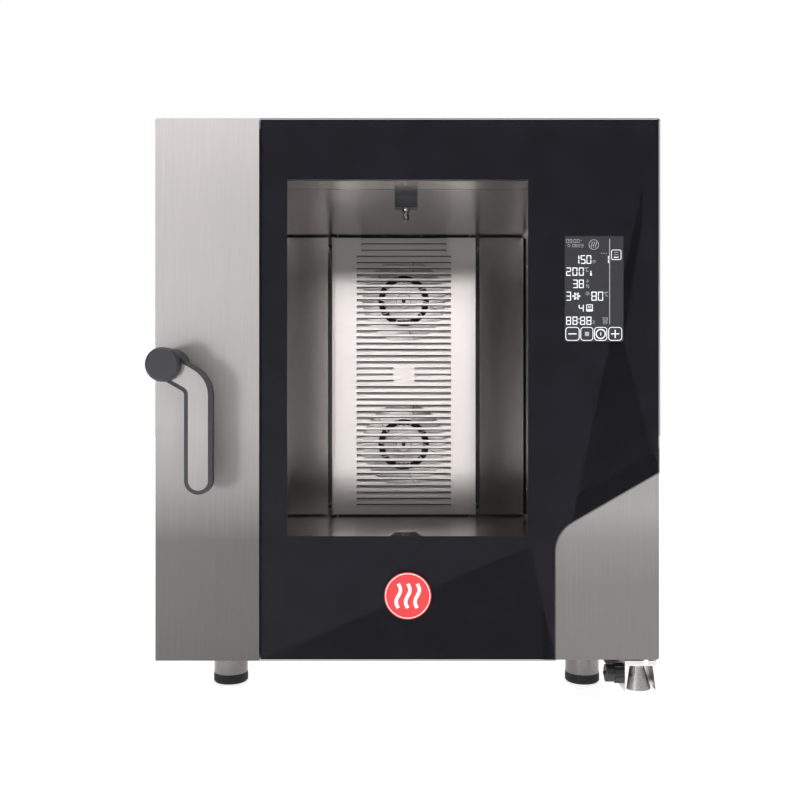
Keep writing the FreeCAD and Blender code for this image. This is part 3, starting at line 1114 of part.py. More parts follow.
for thing in doc.Objects:
    if "Invalid" in thing.State or "Error" in thing.State:
        raise RuntimeError(f"{thing.Name} ({thing.Label}) failed: {thing.State}")

os.makedirs("parts", exist_ok=True)
for piece in subparts:
    shape = piece.Shape
    if shape.isNull() or not shape.isValid() or not shape.Solids:
        raise RuntimeError(f"{piece.Label} has no valid solid")
    shape.exportStep(f"parts/{piece.Label}.step")
print(len(subparts), "sub-parts written")
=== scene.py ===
import math

import bpy
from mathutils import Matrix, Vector


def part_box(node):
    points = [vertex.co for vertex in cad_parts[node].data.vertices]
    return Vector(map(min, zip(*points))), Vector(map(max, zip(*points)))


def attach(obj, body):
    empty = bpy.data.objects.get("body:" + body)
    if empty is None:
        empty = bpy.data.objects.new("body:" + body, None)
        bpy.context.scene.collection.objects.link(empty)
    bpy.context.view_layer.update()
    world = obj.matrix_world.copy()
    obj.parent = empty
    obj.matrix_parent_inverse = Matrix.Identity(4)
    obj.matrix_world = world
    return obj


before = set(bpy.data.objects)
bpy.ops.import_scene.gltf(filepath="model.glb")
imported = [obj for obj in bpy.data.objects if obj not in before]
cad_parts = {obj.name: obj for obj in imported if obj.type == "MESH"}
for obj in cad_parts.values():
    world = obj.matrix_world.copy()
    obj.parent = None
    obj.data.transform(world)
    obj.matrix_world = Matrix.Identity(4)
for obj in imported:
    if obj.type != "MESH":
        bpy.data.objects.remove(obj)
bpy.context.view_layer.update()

# Looks for a counter-top combi steamer: stainless cabinet, full-width glass door, lit steam cavity.
# Lengths are in metres. Shapes drawn on a flat face are given in millimetres on that face.

MM = 0.001
glass_low, glass_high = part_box("door_glass")
FRONT = glass_low[1]
BASE = glass_low[2]
TOP = glass_high[2]
BAFFLE_GAP = 4 * MM
DEFLECTOR_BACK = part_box("inlet_baffle")[0][1] - BAFFLE_GAP


# Materials -----------------------------------------------------------------------------------

class Look:
    """A Principled material put together from textures that stay fixed to the piece."""

    def __init__(self, name, colour, metallic=0.0, rough=0.5, **constants):
        self.material = bpy.data.materials.new(name)
        self.material.use_nodes = True
        self.tree = self.material.node_tree
        self.tree.nodes.clear()
        self.shader = self.make("ShaderNodeBsdfPrincipled")
        out = self.make("ShaderNodeOutputMaterial")
        self.join(self.shader.outputs["BSDF"], out.inputs["Surface"])
        self.coords = self.make("ShaderNodeTexCoord").outputs["Object"]
        self.colour = colour
        self.set("Base Color", (*colour, 1))
        self.set("Metallic", metallic)
        self.set("Roughness", rough)
        for socket, amount in constants.items():
            self.set(socket.replace("_", " "), amount)
        self.normal = None

    def make(self, kind):
        return self.tree.nodes.new(kind)

    def join(self, source, target):
        self.tree.links.new(source, target)

    def set(self, socket, amount):
        self.shader.inputs[socket].default_value = amount

    def noise(self, scale, stretch=(1, 1, 1), detail=3.0, rough=0.55, warp=0.0):
        """Noise between 0 and 1 at about scale cells a metre, drawn out along the short stretch axes."""
        mapping = self.make("ShaderNodeMapping")
        mapping.inputs["Scale"].default_value = stretch
        self.join(self.coords, mapping.inputs["Vector"])
        texture = self.make("ShaderNodeTexNoise")
        texture.inputs["Scale"].default_value = scale
        texture.inputs["Detail"].default_value = detail
        texture.inputs["Roughness"].default_value = rough
        texture.inputs["Distortion"].default_value = warp
        self.join(mapping.outputs["Vector"], texture.inputs["Vector"])
        return texture.outputs["Fac"]

    def cells(self, scale, feature="F1"):
        """Distance in a pattern of cells: to a cell's middle with F1, or to its edge."""
        texture = self.make("ShaderNodeTexVoronoi")
        texture.feature = feature
        texture.inputs["Scale"].default_value = scale
        self.join(self.coords, texture.inputs["Vector"])
        return texture.outputs["Distance"]

    def across(self, axis, low, high):
        """0 up to low and 1 from high on, along one axis."""
        split = self.make("ShaderNodeSeparateXYZ")
        self.join(self.coords, split.inputs["Vector"])
        return self.spread(split.outputs[axis], low, high)

    def spread(self, source, low, high, new_low=0, new_high=1):
        """The stretch from low to high of an output, mapped to new_low to new_high and held outside it."""
        node = self.make("ShaderNodeMapRange")
        for socket, amount in (("From Min", low), ("From Max", high),
                               ("To Min", new_low), ("To Max", new_high)):
            node.inputs[socket].default_value = amount
        self.join(source, node.inputs["Value"])
        return node.outputs["Result"]

    def pair(self, blend, first, second):
        """A node that puts two colours together, each a colour or a colour output."""
        node = self.make("ShaderNodeMix")
        node.data_type = "RGBA"
        node.blend_type = blend
        sockets = [s for s in node.inputs if s.type == "RGBA"]
        for socket, colour in zip(sockets, (first, second)):
            if isinstance(colour, tuple):
                socket.default_value = (*colour[:3], 1)
            else:
                self.join(colour, socket)
        return node, [s for s in node.outputs if s.type == "RGBA"][0]

    def mix(self, factor, first, second):
        """A colour between two: the first at factor 0, the second at factor 1."""
        node, result = self.pair("MIX", first, second)
        self.join(factor, node.inputs["Factor"])
        return result

    def times(self, first, second):
        """One colour times another."""
        node, result = self.pair("MULTIPLY", first, second)
        node.inputs["Factor"].default_value = 1.0
        return result

    def paint(self, source):
        self.join(source, self.shader.inputs["Base Color"])

    def tint(self, factor, darker, brighter):
        """Base colour that varies with factor from darker to brighter times the plain colour."""
        self.paint(self.mix(factor, shade(self.colour, darker), shade(self.colour, brighter)))

    def polish(self, factor, low, high):
        """Roughness that varies with factor."""
        self.join(self.spread(factor, 0.3, 0.7, low, high), self.shader.inputs["Roughness"])

    def flat(self):
        """Shade every face by its own direction, so that broad sheets stay even."""
        self.normal = self.make("ShaderNodeNewGeometry").outputs["True Normal"]
        self.join(self.normal, self.shader.inputs["Normal"])

    def bump(self, height, distance, strength=1.0):
        node = self.make("ShaderNodeBump")
        node.inputs["Distance"].default_value = distance
        node.inputs["Strength"].default_value = strength
        self.join(height, node.inputs["Height"])
        if self.normal:
            self.join(self.normal, node.inputs["Normal"])
        self.normal = node.outputs["Normal"]
        self.join(self.normal, self.shader.inputs["Normal"])


def shade(colour, amount):
    return tuple(min(1.0, c * amount) for c in colour[:3])


BRUSH_LINES = 900
BRUSH_STRETCH = 0.012


def brushed(name, colour, along, rough=0.34, painted_shade=None, contrast=0.05, relief=0.3, vary=0.04,
            metallic=1.0, sheet=False):
    """Brushed stainless sheet: fine lines along one axis, faint cloudy handling marks.

    The height list holds pairs, in rising order, of a share of the front's height and how bright the
    steel is painted there: painted shading that stands in for reflections. With sheet, every face is shaded
    flat."""
    look = Look(name, colour, metallic=metallic, rough=rough)
    if sheet:
        look.flat()
    stretch = [1, 1, 1]
    stretch["XYZ".index(along)] = BRUSH_STRETCH
    lines = look.noise(BRUSH_LINES, stretch, detail=4.0, rough=0.7)
    clouds = look.noise(5.5, detail=4.0, warp=0.4)
    fine = look.mix(look.spread(lines, 0.3, 0.7),
                    shade(colour, 1 - contrast), shade(colour, 1 + contrast))
    marks_and_painted_shade = look.mix(look.spread(clouds, 0.35, 0.7, 0, 0.16), fine, shade(colour, 0.85))
    # Painted shading: the steel's colour is scaled by height, a painted reflection gradient.
    if painted_shade:
        ramp = look.make("ShaderNodeValToRGB")
        stops = ramp.color_ramp.elements
        ready = len(stops)
        for share, _ in painted_shade[ready:]:
            stops.new(share)
        for stop, (share, amount) in zip(stops, painted_shade):
            stop.position = share
            stop.color = (amount, amount, amount, 1)
        look.join(look.across("Z", BASE, TOP), ramp.inputs["Fac"])
        marks_and_painted_shade = look.times(marks_and_painted_shade, ramp.outputs["Color"])
    look.paint(marks_and_painted_shade)
    look.polish(look.noise(BRUSH_LINES * 0.8, stretch, detail=2.0), rough - vary, rough + vary)
    look.bump(lines, 0.00001, relief)
    return look.material


def fan_steel(name, colour):
    """Fan wheel: bright on its front faces, painted near black deeper in as the shade within the wheel."""
    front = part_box("fan_wheel_lower")[0][1]
    look = Look(name, colour, metallic=0.55, rough=0.42)
    clouds = look.noise(14, detail=4.0)
    steel = look.mix(look.spread(clouds, 0.38, 0.62), shade(colour, 0.5), colour)
    # Painted shade: faces more than a few millimetres behind the front turn near black.
    painted_shade_depth = look.across("Y", front + 0.0045, front + 0.0075)
    look.paint(look.mix(painted_shade_depth, steel, (0.035, 0.034, 0.038)))
    look.polish(clouds, 0.36, 0.5)
    look.bump(look.noise(500, detail=3.0), 0.00002, 0.4)
    return look.material


def moulded(name, colour, rough, grain=2600, depth=0.00004, sheet=False, **constants):
    """Moulded plastic with a fine eroded grain and slightly uneven sheen."""
    look = Look(name, colour, rough=rough, **constants)
    if sheet:
        look.flat()
    fine = look.noise(grain, detail=2.0)
    clouds = look.noise(18, detail=4.0)
    look.tint(look.spread(clouds, 0.35, 0.65), 0.82, 1.18)
    look.polish(clouds, rough - 0.07, rough + 0.09)
    look.bump(fine, depth, 0.6)
    return look.material


def turned(name, colour, rough=0.2):
    """Turned metal: rings left by the tool and small colour changes."""
    look = Look(name, colour, metallic=1.0, rough=rough)
    rings = look.noise(900, (0.1, 1, 0.1), detail=2.0)
    clouds = look.noise(60, detail=3.0)
    look.tint(look.spread(clouds, 0.3, 0.7), 0.85, 1.08)
    look.polish(rings, rough - 0.08, rough + 0.12)
    look.bump(rings, 0.00002, 0.5)
    return look.material


def clear_glass(name, colour, opacity):
    """Clear sheet glass that mirrors more at grazing angles, with a trace of wiping marks."""
    look = Look(name, colour, rough=0.03, IOR=1.5, Specular_IOR_Level=0.15)
    look.flat()
    rim = look.make("ShaderNodeLayerWeight")
    rim.inputs["Blend"].default_value = 0.18
    look.join(look.normal, rim.inputs["Normal"])
    look.join(look.spread(rim.outputs["Fresnel"], 0, 1, opacity, 0.75), look.shader.inputs["Alpha"])
    wiped = look.noise(9, (1, 1, 0.35), detail=5.0, warp=1.2)
    look.tint(look.spread(wiped, 0.4, 0.7), 0.96, 1.02)
    look.polish(wiped, 0.02, 0.05)
    return look.material


def glowing(name, colour, strength):
    """A lit surface, a little uneven as seen through a diffuser."""
    look = Look(name, shade(colour, 0.5), rough=0.5)
    even = look.noise(140, detail=2.0)
    look.join(look.mix(look.spread(even, 0.3, 0.7), shade(colour, 0.92), colour),
              look.shader.inputs["Emission Color"])
    look.set("Emission Strength", strength)
    look.tint(even, 0.9, 1.1)
    return look.material


def wool(name):
    look = Look(name, (0.52, 0.46, 0.34), rough=0.95)
    strands = look.noise(260, (1, 1, 0.25), detail=8.0, rough=0.75, warp=1.5)
    look.tint(look.spread(strands, 0.3, 0.7), 0.55, 1.25)
    look.polish(strands, 0.88, 0.98)
    look.bump(strands, 0.0015, 0.8)
    return look.material


def rubber(name):
    look = Look(name, (0.018, 0.018, 0.019), rough=0.62)
    dust = look.noise(35, detail=6.0)
    look.tint(look.spread(dust, 0.45, 0.75), 0.85, 1.9)
    look.polish(dust, 0.55, 0.75)
    look.bump(look.noise(1500, detail=2.0), 0.00004, 0.6)
    return look.material


def circuit(name):
    """Green board with lighter tracks and darker parts."""
    look = Look(name, (0.02, 0.11, 0.05), rough=0.35)
    tracks = look.cells(170, "DISTANCE_TO_EDGE")
    board = look.mix(look.spread(tracks, 0.02, 0.05), (0.05, 0.24, 0.1), look.colour)
    patches = look.cells(60)
    look.paint(look.mix(look.spread(patches, 0.2, 0.35, 0.35, 0), board, (0.02, 0.02, 0.02)))
    look.polish(look.noise(90), 0.25, 0.5)
    look.bump(tracks, 0.0002, 0.4)
    return look.material


def heated(name):
    """Steel tube with straw and blue heat tints."""
    look = Look(name, (0.34, 0.3, 0.27), metallic=1.0, rough=0.42)
    bands = look.noise(14, detail=3.0, warp=0.8)
    straw = look.mix(look.spread(bands, 0.35, 0.55), (0.33, 0.24, 0.14), (0.3, 0.29, 0.29))
    look.paint(look.mix(look.spread(bands, 0.6, 0.72), straw, (0.15, 0.17, 0.27)))
    look.polish(look.noise(300, detail=4.0), 0.35, 0.55)
    look.bump(look.noise(700), 0.00004, 0.5)
    return look.material


def cast(name, colour):
    look = Look(name, colour, metallic=0.9, rough=0.5)
    pores = look.noise(900, detail=5.0, rough=0.7)
    clouds = look.noise(25, detail=3.0)
    look.tint(look.spread(clouds, 0.3, 0.7), 0.8, 1.15)
    look.polish(clouds, 0.42, 0.62)
    look.bump(pores, 0.00012, 0.7)
    return look.material


def enamel(name, colour):
    look = Look(name, colour, rough=0.22, Coat_Weight=0.4, Coat_Roughness=0.08)
    clouds = look.noise(220, detail=3.0)
    look.tint(look.spread(clouds, 0.3, 0.7), 0.95, 1.05)
    look.polish(clouds, 0.18, 0.28)
    look.bump(clouds, 0.00003, 0.4)
    return look.material


STEEL = (0.62, 0.595, 0.585)
# Painted reflection gradient for the door strip and the handle inset: darker towards the bottom.
STRIP_PAINTED_SHADE = [(0, 0.18), (0.22, 0.2), (0.33, 0.4), (0.44, 0.54), (0.66, 0.66), (0.85, 0.8), (1, 1.0)]
looks = {
    "casing": brushed("casing_steel", STEEL, "Z", 0.36),
    "top": brushed("top_steel", STEEL, "Y", 0.36),
    "strip": brushed("strip_steel", (0.72, 0.685, 0.675), "Z", 0.55, painted_shade=STRIP_PAINTED_SHADE, sheet=True),
    # The corner panel's height list paints shading too: darker towards the bottom.
    "corner": brushed("corner_steel", (0.38, 0.36, 0.355), "Z", 0.5,
                      painted_shade=[(0, 0.54), (0.14, 0.58), (0.22, 0.72), (0.28, 1.0), (0.4, 1.1)], sheet=True),
    "frame": brushed("frame_steel", STEEL, "X", 0.33),
    "cavity": brushed("cavity_steel", (0.46, 0.435, 0.43), "Z", 0.24, contrast=0.01, relief=0.03, vary=0.01),
    "deflector": brushed("deflector_steel", (0.8, 0.77, 0.755), "X", 0.5, contrast=0.01, relief=0.03,
                         vary=0.01, metallic=0.35, sheet=True),
    "wheel": fan_steel("wheel_steel", (0.78, 0.755, 0.745)),
    "shaft": turned("shaft_steel", (0.78, 0.755, 0.745), 0.4),
    # Near black for the painted shadow bars in the air deflector's slots.
    "slot_shadow": moulded("slot_shadow_black", (0.02, 0.019, 0.022), 0.55),
    "chassis": brushed("chassis_steel", (0.2, 0.19, 0.19), "X", 0.45),
    "block": brushed("block_steel", (0.07, 0.07, 0.075), "Z", 0.35, contrast=0.02),
    "bracket": brushed("bracket_steel", (0.72, 0.7, 0.69), "Z", 0.3),
    "sleeve": brushed("sleeve_steel", (0.19, 0.18, 0.175), "X", 0.26),
    "turned": turned("turned_steel", (0.7, 0.69, 0.69)),
    "heated": heated("heated_tube"),
    "glass": clear_glass("front_glass", (0.012, 0.014, 0.016), 0.03),
    "inner_glass": clear_glass("pane_glass", (0.015, 0.02, 0.018), 0.01),
    "mask": moulded("black_print", (0.0125, 0.0125, 0.019), 0.5, depth=0.00001, sheet=True,
                    Specular_IOR_Level=0.15),
    "display": moulded("display_face", (0.019, 0.019, 0.026), 0.22, depth=0.00001),
    "lamp": glowing("lamp_strip", (1.0, 0.96, 0.88), 5.0),
    "handle": moulded("handle_black", (0.0165, 0.0165, 0.022), 0.46),
    # The handle inset carries the door strip's painted reflection gradient.
    "inset": brushed("inset_steel", (0.6, 0.57, 0.56), "Z", 0.42, painted_shade=STRIP_PAINTED_SHADE),
    "rubber": rubber("seal_rubber"),
    "wool": wool("mineral_wool"),
    "foot": moulded("foot_black", (0.002, 0.002, 0.003), 0.7, grain=1500, depth=0.00008),
    "knob": moulded("knob_black", (0.014, 0.014, 0.016), 0.38),
    "gland": moulded("gland_black", (0.02, 0.02, 0.02), 0.5),
    "pipe": moulded("pipe_grey", (0.3, 0.31, 0.32), 0.5, grain=700),
    "brass": turned("valve_brass", (0.72, 0.52, 0.2), 0.28),
    "bush": moulded("bush_white", (0.72, 0.7, 0.64), 0.45),
    "cast": cast("motor_cast", (0.46, 0.46, 0.47)),
    "actuator": moulded("actuator_grey", (0.09, 0.09, 0.1), 0.5),
    "board": circuit("circuit_board"),
    "rotor": moulded("rotor_black", (0.025, 0.025, 0.026), 0.42),
    "post": moulded("post_black", (0.02, 0.02, 0.02), 0.35),
}

WEARS = {
    "casing": ("side_panel_left", "side_panel_right", "rear_panel", "latch_keeper", "hinge_plates"),
    "top": ("top_panel", "base_plate"),
    "strip": ("door_strip",), "corner": ("corner_panel",),
    "frame": ("front_frame", "inner_glass_clamps", "cooling_fan_housing"),
    "chassis": ("door_chassis",), "block": ("wash_block",), "wheel": ("fan_wheel_lower", "fan_wheel_upper"),
    "cavity": ("cavity_shell", "cavity_rear_wall", "drain_strainer", "deflector_sides"),
    "deflector": ("air_deflector", "inlet_baffle"), "shaft": ("fan_shaft_lower", "fan_shaft_upper"),
    "bracket": ("outlet_bracket", "outlet_cone"), "sleeve": ("leg_sleeves", "vent_pipe", "vent_flap"),
    "turned": ("hinge_pins", "latch_spindle", "rear_screws", "wash_rotor", "rack_studs"),
    "heated": ("heating_rings",), "glass": ("door_glass",), "inner_glass": ("inner_glass",),
    "mask": ("door_mask",), "display": ("display_module",), "lamp": ("led_strip",),
    "handle": ("handle_hub", "handle_lever"), "inset": ("handle_inset",), "rubber": ("door_gasket",),
    "wool": ("insulation",),
    "foot": ("foot_front_left", "foot_rear_left", "foot_front_right", "foot_rear_right"),
    "knob": ("outlet_knob",), "gland": ("cable_gland",), "pipe": ("drain_pipe",),
    "brass": ("inlet_valve", "water_nozzles"), "bush": ("door_bushes",), "cast": ("fan_motors",),
    "actuator": ("vent_actuator",), "board": ("power_board",), "rotor": ("cooling_fan_rotor",),
    "post": ("deflector_posts",),
}
for look, names in WEARS.items():
    for name in names:
        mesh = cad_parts[name].data
        mesh.materials.clear()
        mesh.materials.append(looks[look])


# Pieces drawn as thin plates -----------------------------------------------------------------

class Plates:
    """Thin raised shapes on a face that looks to the front, in millimetres right and down from a corner."""

    def __init__(self, corner, front, thick):
        self.corner = Vector(corner)
        self.front = front
        self.thick = thick
        self.points = []
        self.faces = []

    def add(self, outline):
        """One closed outline, listed clockwise as seen from the front."""
        first = len(self.points)
        count = len(outline)
        for depth in (0, self.thick):
            for right, down in outline:
                self.points.append((self.corner.x + right * MM, self.front + depth,
                                    self.corner.z - down * MM))
        self.faces.append([first + i for i in reversed(range(count))])
        self.faces.append([first + count + i for i in range(count)])
        for i in range(count):
            after = (i + 1) % count
            self.faces.append([first + i, first + after, first + count + after, first + count + i])

    def bar(self, left, top, right, bottom):
        self.add([(left, top), (right, top), (right, bottom), (left, bottom)])

    def disc(self, x, y, radius, steps=28):
        self.add([(x + radius * math.cos(a), y + radius * math.sin(a)) for a in turns(steps)])

    def loop(self, outer, inner):
        """The band between two outlines with the same number of points."""
        count = len(outer)
        for i in range(count):
            after = (i + 1) % count
            self.add([outer[i], outer[after], inner[after], inner[i]])

    def hoop(self, x, y, radius, line, steps=28):
        around = turns(steps)
        self.loop([(x + radius * math.cos(a), y + radius * math.sin(a)) for a in around],
                  [(x + (radius - line) * math.cos(a), y + (radius - line) * math.sin(a))
                   for a in around])

    def stroke(self, path, line):
        """A line of even width along a path, with square ends."""
        sides = ([], [])
        for i, (x, y) in enumerate(path):
            before = path[max(i - 1, 0)]
            after = path[min(i + 1, len(path) - 1)]
            along = Vector((after[0] - before[0], after[1] - before[1])).normalized()
            sides[0].append((x - along.y * line / 2, y + along.x * line / 2))
            sides[1].append((x + along.y * line / 2, y - along.x * line / 2))
        for i in range(len(path) - 1):
            self.add([sides[1][i], sides[1][i + 1], sides[0][i + 1], sides[0][i]])

    def frame(self, left, top, right, bottom, radius, line):
        self.loop(rounded(left, top, right, bottom, radius),
                  rounded(left + line, top + line, right - line, bottom - line, max(radius - line, 0.3)))

    def digit(self, figure, left, top, right, bottom, line):
        """A seven-segment figure."""
        middle = (top + bottom) / 2
        gap = line * 0.22
        slant = line * 0.8
        clear = line * 0.35
        flat = {"a": top, "g": middle - line / 2, "d": bottom - line}
        upright = {"f": (left, top, middle), "b": (right - line, top, middle),
                   "e": (left, middle, bottom), "c": (right - line, middle, bottom)}
        for key in SEGMENTS[figure]:
            if key in flat:
                y = flat[key]
                upper, lower = (slant, gap) if key == "d" else (gap, slant)
                self.add([(left + upper, y), (right - upper, y),
                          (right - lower, y + line), (left + lower, y + line)])
            else:
                x, low, high = upright[key]
                self.bar(x, low + clear, x + line, high - clear)

    def finish(self, name, look, body):
        """Make the piece, which rides on body and stands in the look slot."""
        mesh = bpy.data.meshes.new(name)
        mesh.from_pydata(self.points, [], self.faces)
        mesh.materials.append(look)
        piece = bpy.data.objects.new(name, mesh)
        bpy.context.scene.collection.objects.link(piece)
        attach(piece, body)
        return piece


SEGMENTS = {"0": "abcdef", "1": "bc", "2": "abged", "3": "abgcd", "4": "fgbc", "5": "afgcd",
            "8": "abcdefg", "9": "abcdfg", "C": "afed"}


def turns(steps):
    return [2 * math.pi * i / steps for i in range(steps)]


def rounded(left, top, right, bottom, radius, steps=6):
    """A rectangle with round corners, clockwise from its right lower corner."""
    points = []
    for x, y, start in ((right - radius, bottom - radius, 0), (left + radius, bottom - radius, 90),
                        (left + radius, top + radius, 180), (right - radius, top + radius, 270)):
        for i in range(steps + 1):
            angle = math.radians(start + 90 * i / steps)
            points.append((x + radius * math.cos(angle), y + radius * math.sin(angle)))
    return points


def wave(x, top, bottom, swing, steps=16):
    """A path of one sine wave, from top to bottom."""
    return [(x + swing * math.sin(2 * math.pi * i / steps), top + (bottom - top) * i / steps)
            for i in range(steps + 1)]


def number(plates, figures, lefts, width, top, bottom, line):
    """A row of seven-segment figures, each with its own left edge."""
    for figure, left in zip(figures, lefts):
        plates.digit(figure, left, top, left + width, bottom, line)


DISPLAY_BORDER = 4 * MM
FILM = 0.00012
FIGURE_LINE = 1.35


def make_display():
    """Lit figures and signs of the touch display, between the glass and the display's face."""
    low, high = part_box("display_module")
    corner = (low[0] + DISPLAY_BORDER, 0, high[2] - DISPLAY_BORDER)
    level = glass_high[1] + FILM

    lit = Plates(corner, level, FILM)
    number(lit, "150", (14.6, 23.8, 32.5), 7.2, 28.8, 41.6, FIGURE_LINE)
    for y in (32.2, 39.4):
        lit.bar(21.0, y, 22.3, y + 1.3)
    lit.digit("1", 59.0, 29.4, 66.0, 41.0, FIGURE_LINE)
    number(lit, "200", (2.2, 11.6, 21.1), 7.4, 47.1, 59.3, FIGURE_LINE)
    number(lit, "38", (12.1, 21.1), 7.4, 65.2, 77.8, FIGURE_LINE)
    number(lit, "3", (2.2,), 7.4, 83.1, 96.5, FIGURE_LINE)
    number(lit, "80", (39.9, 49.6), 7.8, 83.1, 96.5, FIGURE_LINE)
    number(lit, "4", (20.9,), 7.6, 102.3, 113.1, FIGURE_LINE)
    number(lit, "8888", (2.2, 11.7, 23.2, 32.5), 7.4, 120.3, 132.5, FIGURE_LINE)
    for y in (123.2, 128.4):
        lit.bar(20.6, y, 21.9, y + 1.3)
    for angle in turns(6):
        across = (math.cos(angle), math.sin(angle))
        side = (-across[1], across[0])
        lit.add([(17.5 + across[0] * r + side[0] * w, 89.8 + across[1] * r + side[1] * w)
                 for r, w in ((1.3, 0.5), (4.6, 1.5), (5.9, 0.6), (5.9, -0.6), (4.6, -1.5), (1.3, -0.5))])
    lit.bar(37.9, 56.0, 40.5, 59.3)
    lit.bar(38.5, 52.1, 39.9, 56.0)
    lit.frame(32.2, 102.0, 42.0, 112.7, 1.2, 1.1)
    lit.bar(33.4, 109.4, 40.8, 111.6)
    for y in (104.6, 106.8):
        lit.bar(34.6, y, 39.6, y + 0.8)
    lit.bar(5.5, 145.3, 17.7, 146.9)
    lit.bar(69.3, 145.3, 81.3, 146.9)
    lit.bar(74.5, 140.0, 76.1, 145.3)
    lit.bar(74.5, 146.9, 76.1, 152.2)
    lit.hoop(53.8, 146.1, 7.6, 1.7)
    lit.bar(53.2, 143.7, 54.4, 148.5)
    for left, right in ((1.1, 22.2), (23.5, 42.8), (44.1, 63.5), (65.1, 85.6)):
        lit.frame(left, 135.8, right, 156.3, 4.8, 1.1)
    lit.frame(69.3, 20.5, 84.6, 35.8, 2.8, 1.0)
    lit.bar(73.4, 31.2, 80.4, 32.6)
    lit.finish("display_lit", glowing("display_white", (0.86, 0.88, 0.92), 1.15),
               "door")

    faint = Plates(corner, level, FILM)
    number(faint, "0900", (2.4, 7.3, 13.4, 18.3), 3.7, 4.9, 10.4, 0.55)
    for y in (6.3, 8.5):
        faint.bar(12.0, y, 12.6, y + 0.6)
    faint.bar(23.8, 6.5, 26.0, 7.1)
    faint.hoop(6.4, 14.5, 2.1, 0.5)
    number(faint, "0823", (11.4, 15.6, 20.4, 24.6), 3.1, 12.4, 16.8, 0.5)
    faint.hoop(43.5, 13.0, 7.6, 0.8)
    for x in (40.3, 43.5, 46.7):
        faint.stroke(wave(x, 8.6, 17.4, 0.8), 0.9)
    for x in (54.0, 57.5, 61.0):
        faint.bar(x, 25.6, x + 2.2, 26.3)
    faint.bar(66.5, 4.4, 67.6, 131.9)
    for y, half in ((24.2, 3.0), (27.6, 3.4)):
        faint.bar(76.9 - half, y, 76.9 + half, y + 0.8)
    faint.hoop(43.8, 38.4, 2.3, 0.5)
    faint.bar(43.6, 37.0, 44.1, 38.6)
    faint.hoop(30.4, 48.0, 1.0, 0.45)
    faint.digit("C", 31.9, 47.1, 36.2, 53.2, 0.8)
    faint.stroke([(34.1, 65.0), (32.7, 68.0), (34.1, 69.8), (35.5, 68.0), (34.1, 65.0)], 0.5)
    faint.stroke([(32.2, 77.0), (36.2, 72.6)], 0.6)
    faint.disc(32.8, 73.2, 0.9, 12)
    faint.disc(35.6, 76.4, 0.9, 12)
    faint.hoop(34.1, 85.9, 2.6, 0.4)
    for angle in turns(3):
        faint.disc(34.1 + 1.1 * math.cos(angle), 85.9 + 1.1 * math.sin(angle), 0.6, 10)
    faint.hoop(59.6, 84.6, 1.0, 0.45)
    faint.digit("C", 61.1, 83.6, 65.2, 90.0, 0.8)
    faint.stroke([(41.6, 126.6), (45.0, 126.6), (41.6, 130.8), (45.0, 130.8)], 0.7)
    faint.stroke([(57.2, 123.2), (58.2, 131.2), (62.9, 131.2), (63.9, 123.2)], 0.6)
    faint.bar(56.2, 121.9, 64.9, 122.7)
    for x in (59.3, 60.6, 61.9):
        faint.bar(x - 0.2, 124.0, x + 0.2, 130.2)
    faint.add([(30.2, 143.0), (36.2, 143.0), (36.2, 149.2), (30.2, 149.2)])
    faint.finish("display_faint", glowing("display_grey", (0.62, 0.63, 0.68), 0.55),
                 "door")

    panel = Plates(corner, level + 0.0003, 0.0001)
    panel.add(rounded(0.2, 0.2, 87.6, 157.6, 2))
    panel.finish("display_field", glowing("display_haze", (0.045, 0.045, 0.055), 0.45),
                 "door")


BADGE_HEIGHT = 0.0965
BADGE_MIDDLE = 40
BADGE_RADIUS = 35
BADGE_THICK = 0.0006
BADGE_STEPS = 72


def make_badge():
    """A plain round enamel badge with three white steam lines, on the glass below the window."""
    centre = BASE + BADGE_HEIGHT
    corner = (-BADGE_MIDDLE * MM, 0, centre + BADGE_MIDDLE * MM)
    disc = Plates(corner, FRONT - BADGE_THICK, BADGE_THICK)
    disc.disc(BADGE_MIDDLE, BADGE_MIDDLE, BADGE_RADIUS, BADGE_STEPS)
    disc.finish("badge_disc", enamel("badge_red", (0.75, 0.008, 0.012)), "door")
    lines = Plates(corner, FRONT - 0.0009, 0.0003)
    for x in (26, BADGE_MIDDLE, 54):
        lines.stroke(wave(x, 22, 58, 3.2, 28), 5.2)
    lines.hoop(BADGE_MIDDLE, BADGE_MIDDLE, 33.4, 1.1, BADGE_STEPS)
    lines.finish("badge_lines", enamel("badge_white", (0.86, 0.86, 0.86)), "door")


SLOT_ROWS = 44
SLOT_FIRST = 17.6
SLOT_PITCH = 13.2
HALF_SLOT = 4.45
FULL_ROWS = 41
SPLIT_ROWS = (20, 21, 22)
SHADOW_RISE = 0.3
SHADOW_SIDE = 1.2


def make_slot_shadows():
    """Dark bars behind the upper edge and the ends of every slot in the air deflector: painted shadow, where
    the sheet shades the baffle behind the slot.

    The rows above the full ones are shorter, and the rows in the middle are split in two."""
    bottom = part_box("air_deflector")[0][2] + 3 * MM
    # Painted shadow: a dark bar under each slot's upper edge and at its ends.
    shadow_bars = Plates((0, 0, 0), DEFLECTOR_BACK, 0.0008)
    for row in range(SLOT_ROWS):
        edge = bottom / MM + SLOT_FIRST + SLOT_PITCH * row + HALF_SLOT
        half = 100 if row < FULL_ROWS else 90
        gap, deep = (22.5, 1.5) if row in SPLIT_ROWS else (0, 2.1)
        for left, right in ((-half, -gap), (gap, half)):
            shadow_bars.bar(left, -edge - SHADOW_RISE, right, -edge + deep)
        for side in (-half, half - SHADOW_SIDE):
            shadow_bars.bar(side, -edge - SHADOW_RISE, side + SHADOW_SIDE, -edge + 4.5)
    shadow_bars.finish("slot_shadow_bars", looks["slot_shadow"], "deflector")


FAN_MIDDLE = 100
MARK = 0.0002
WELDS = ((12, 4), (83, -9), (148, 10), (221, 7), (290, -6))
WELD_NEAR = 58
WELD_FAR = 86


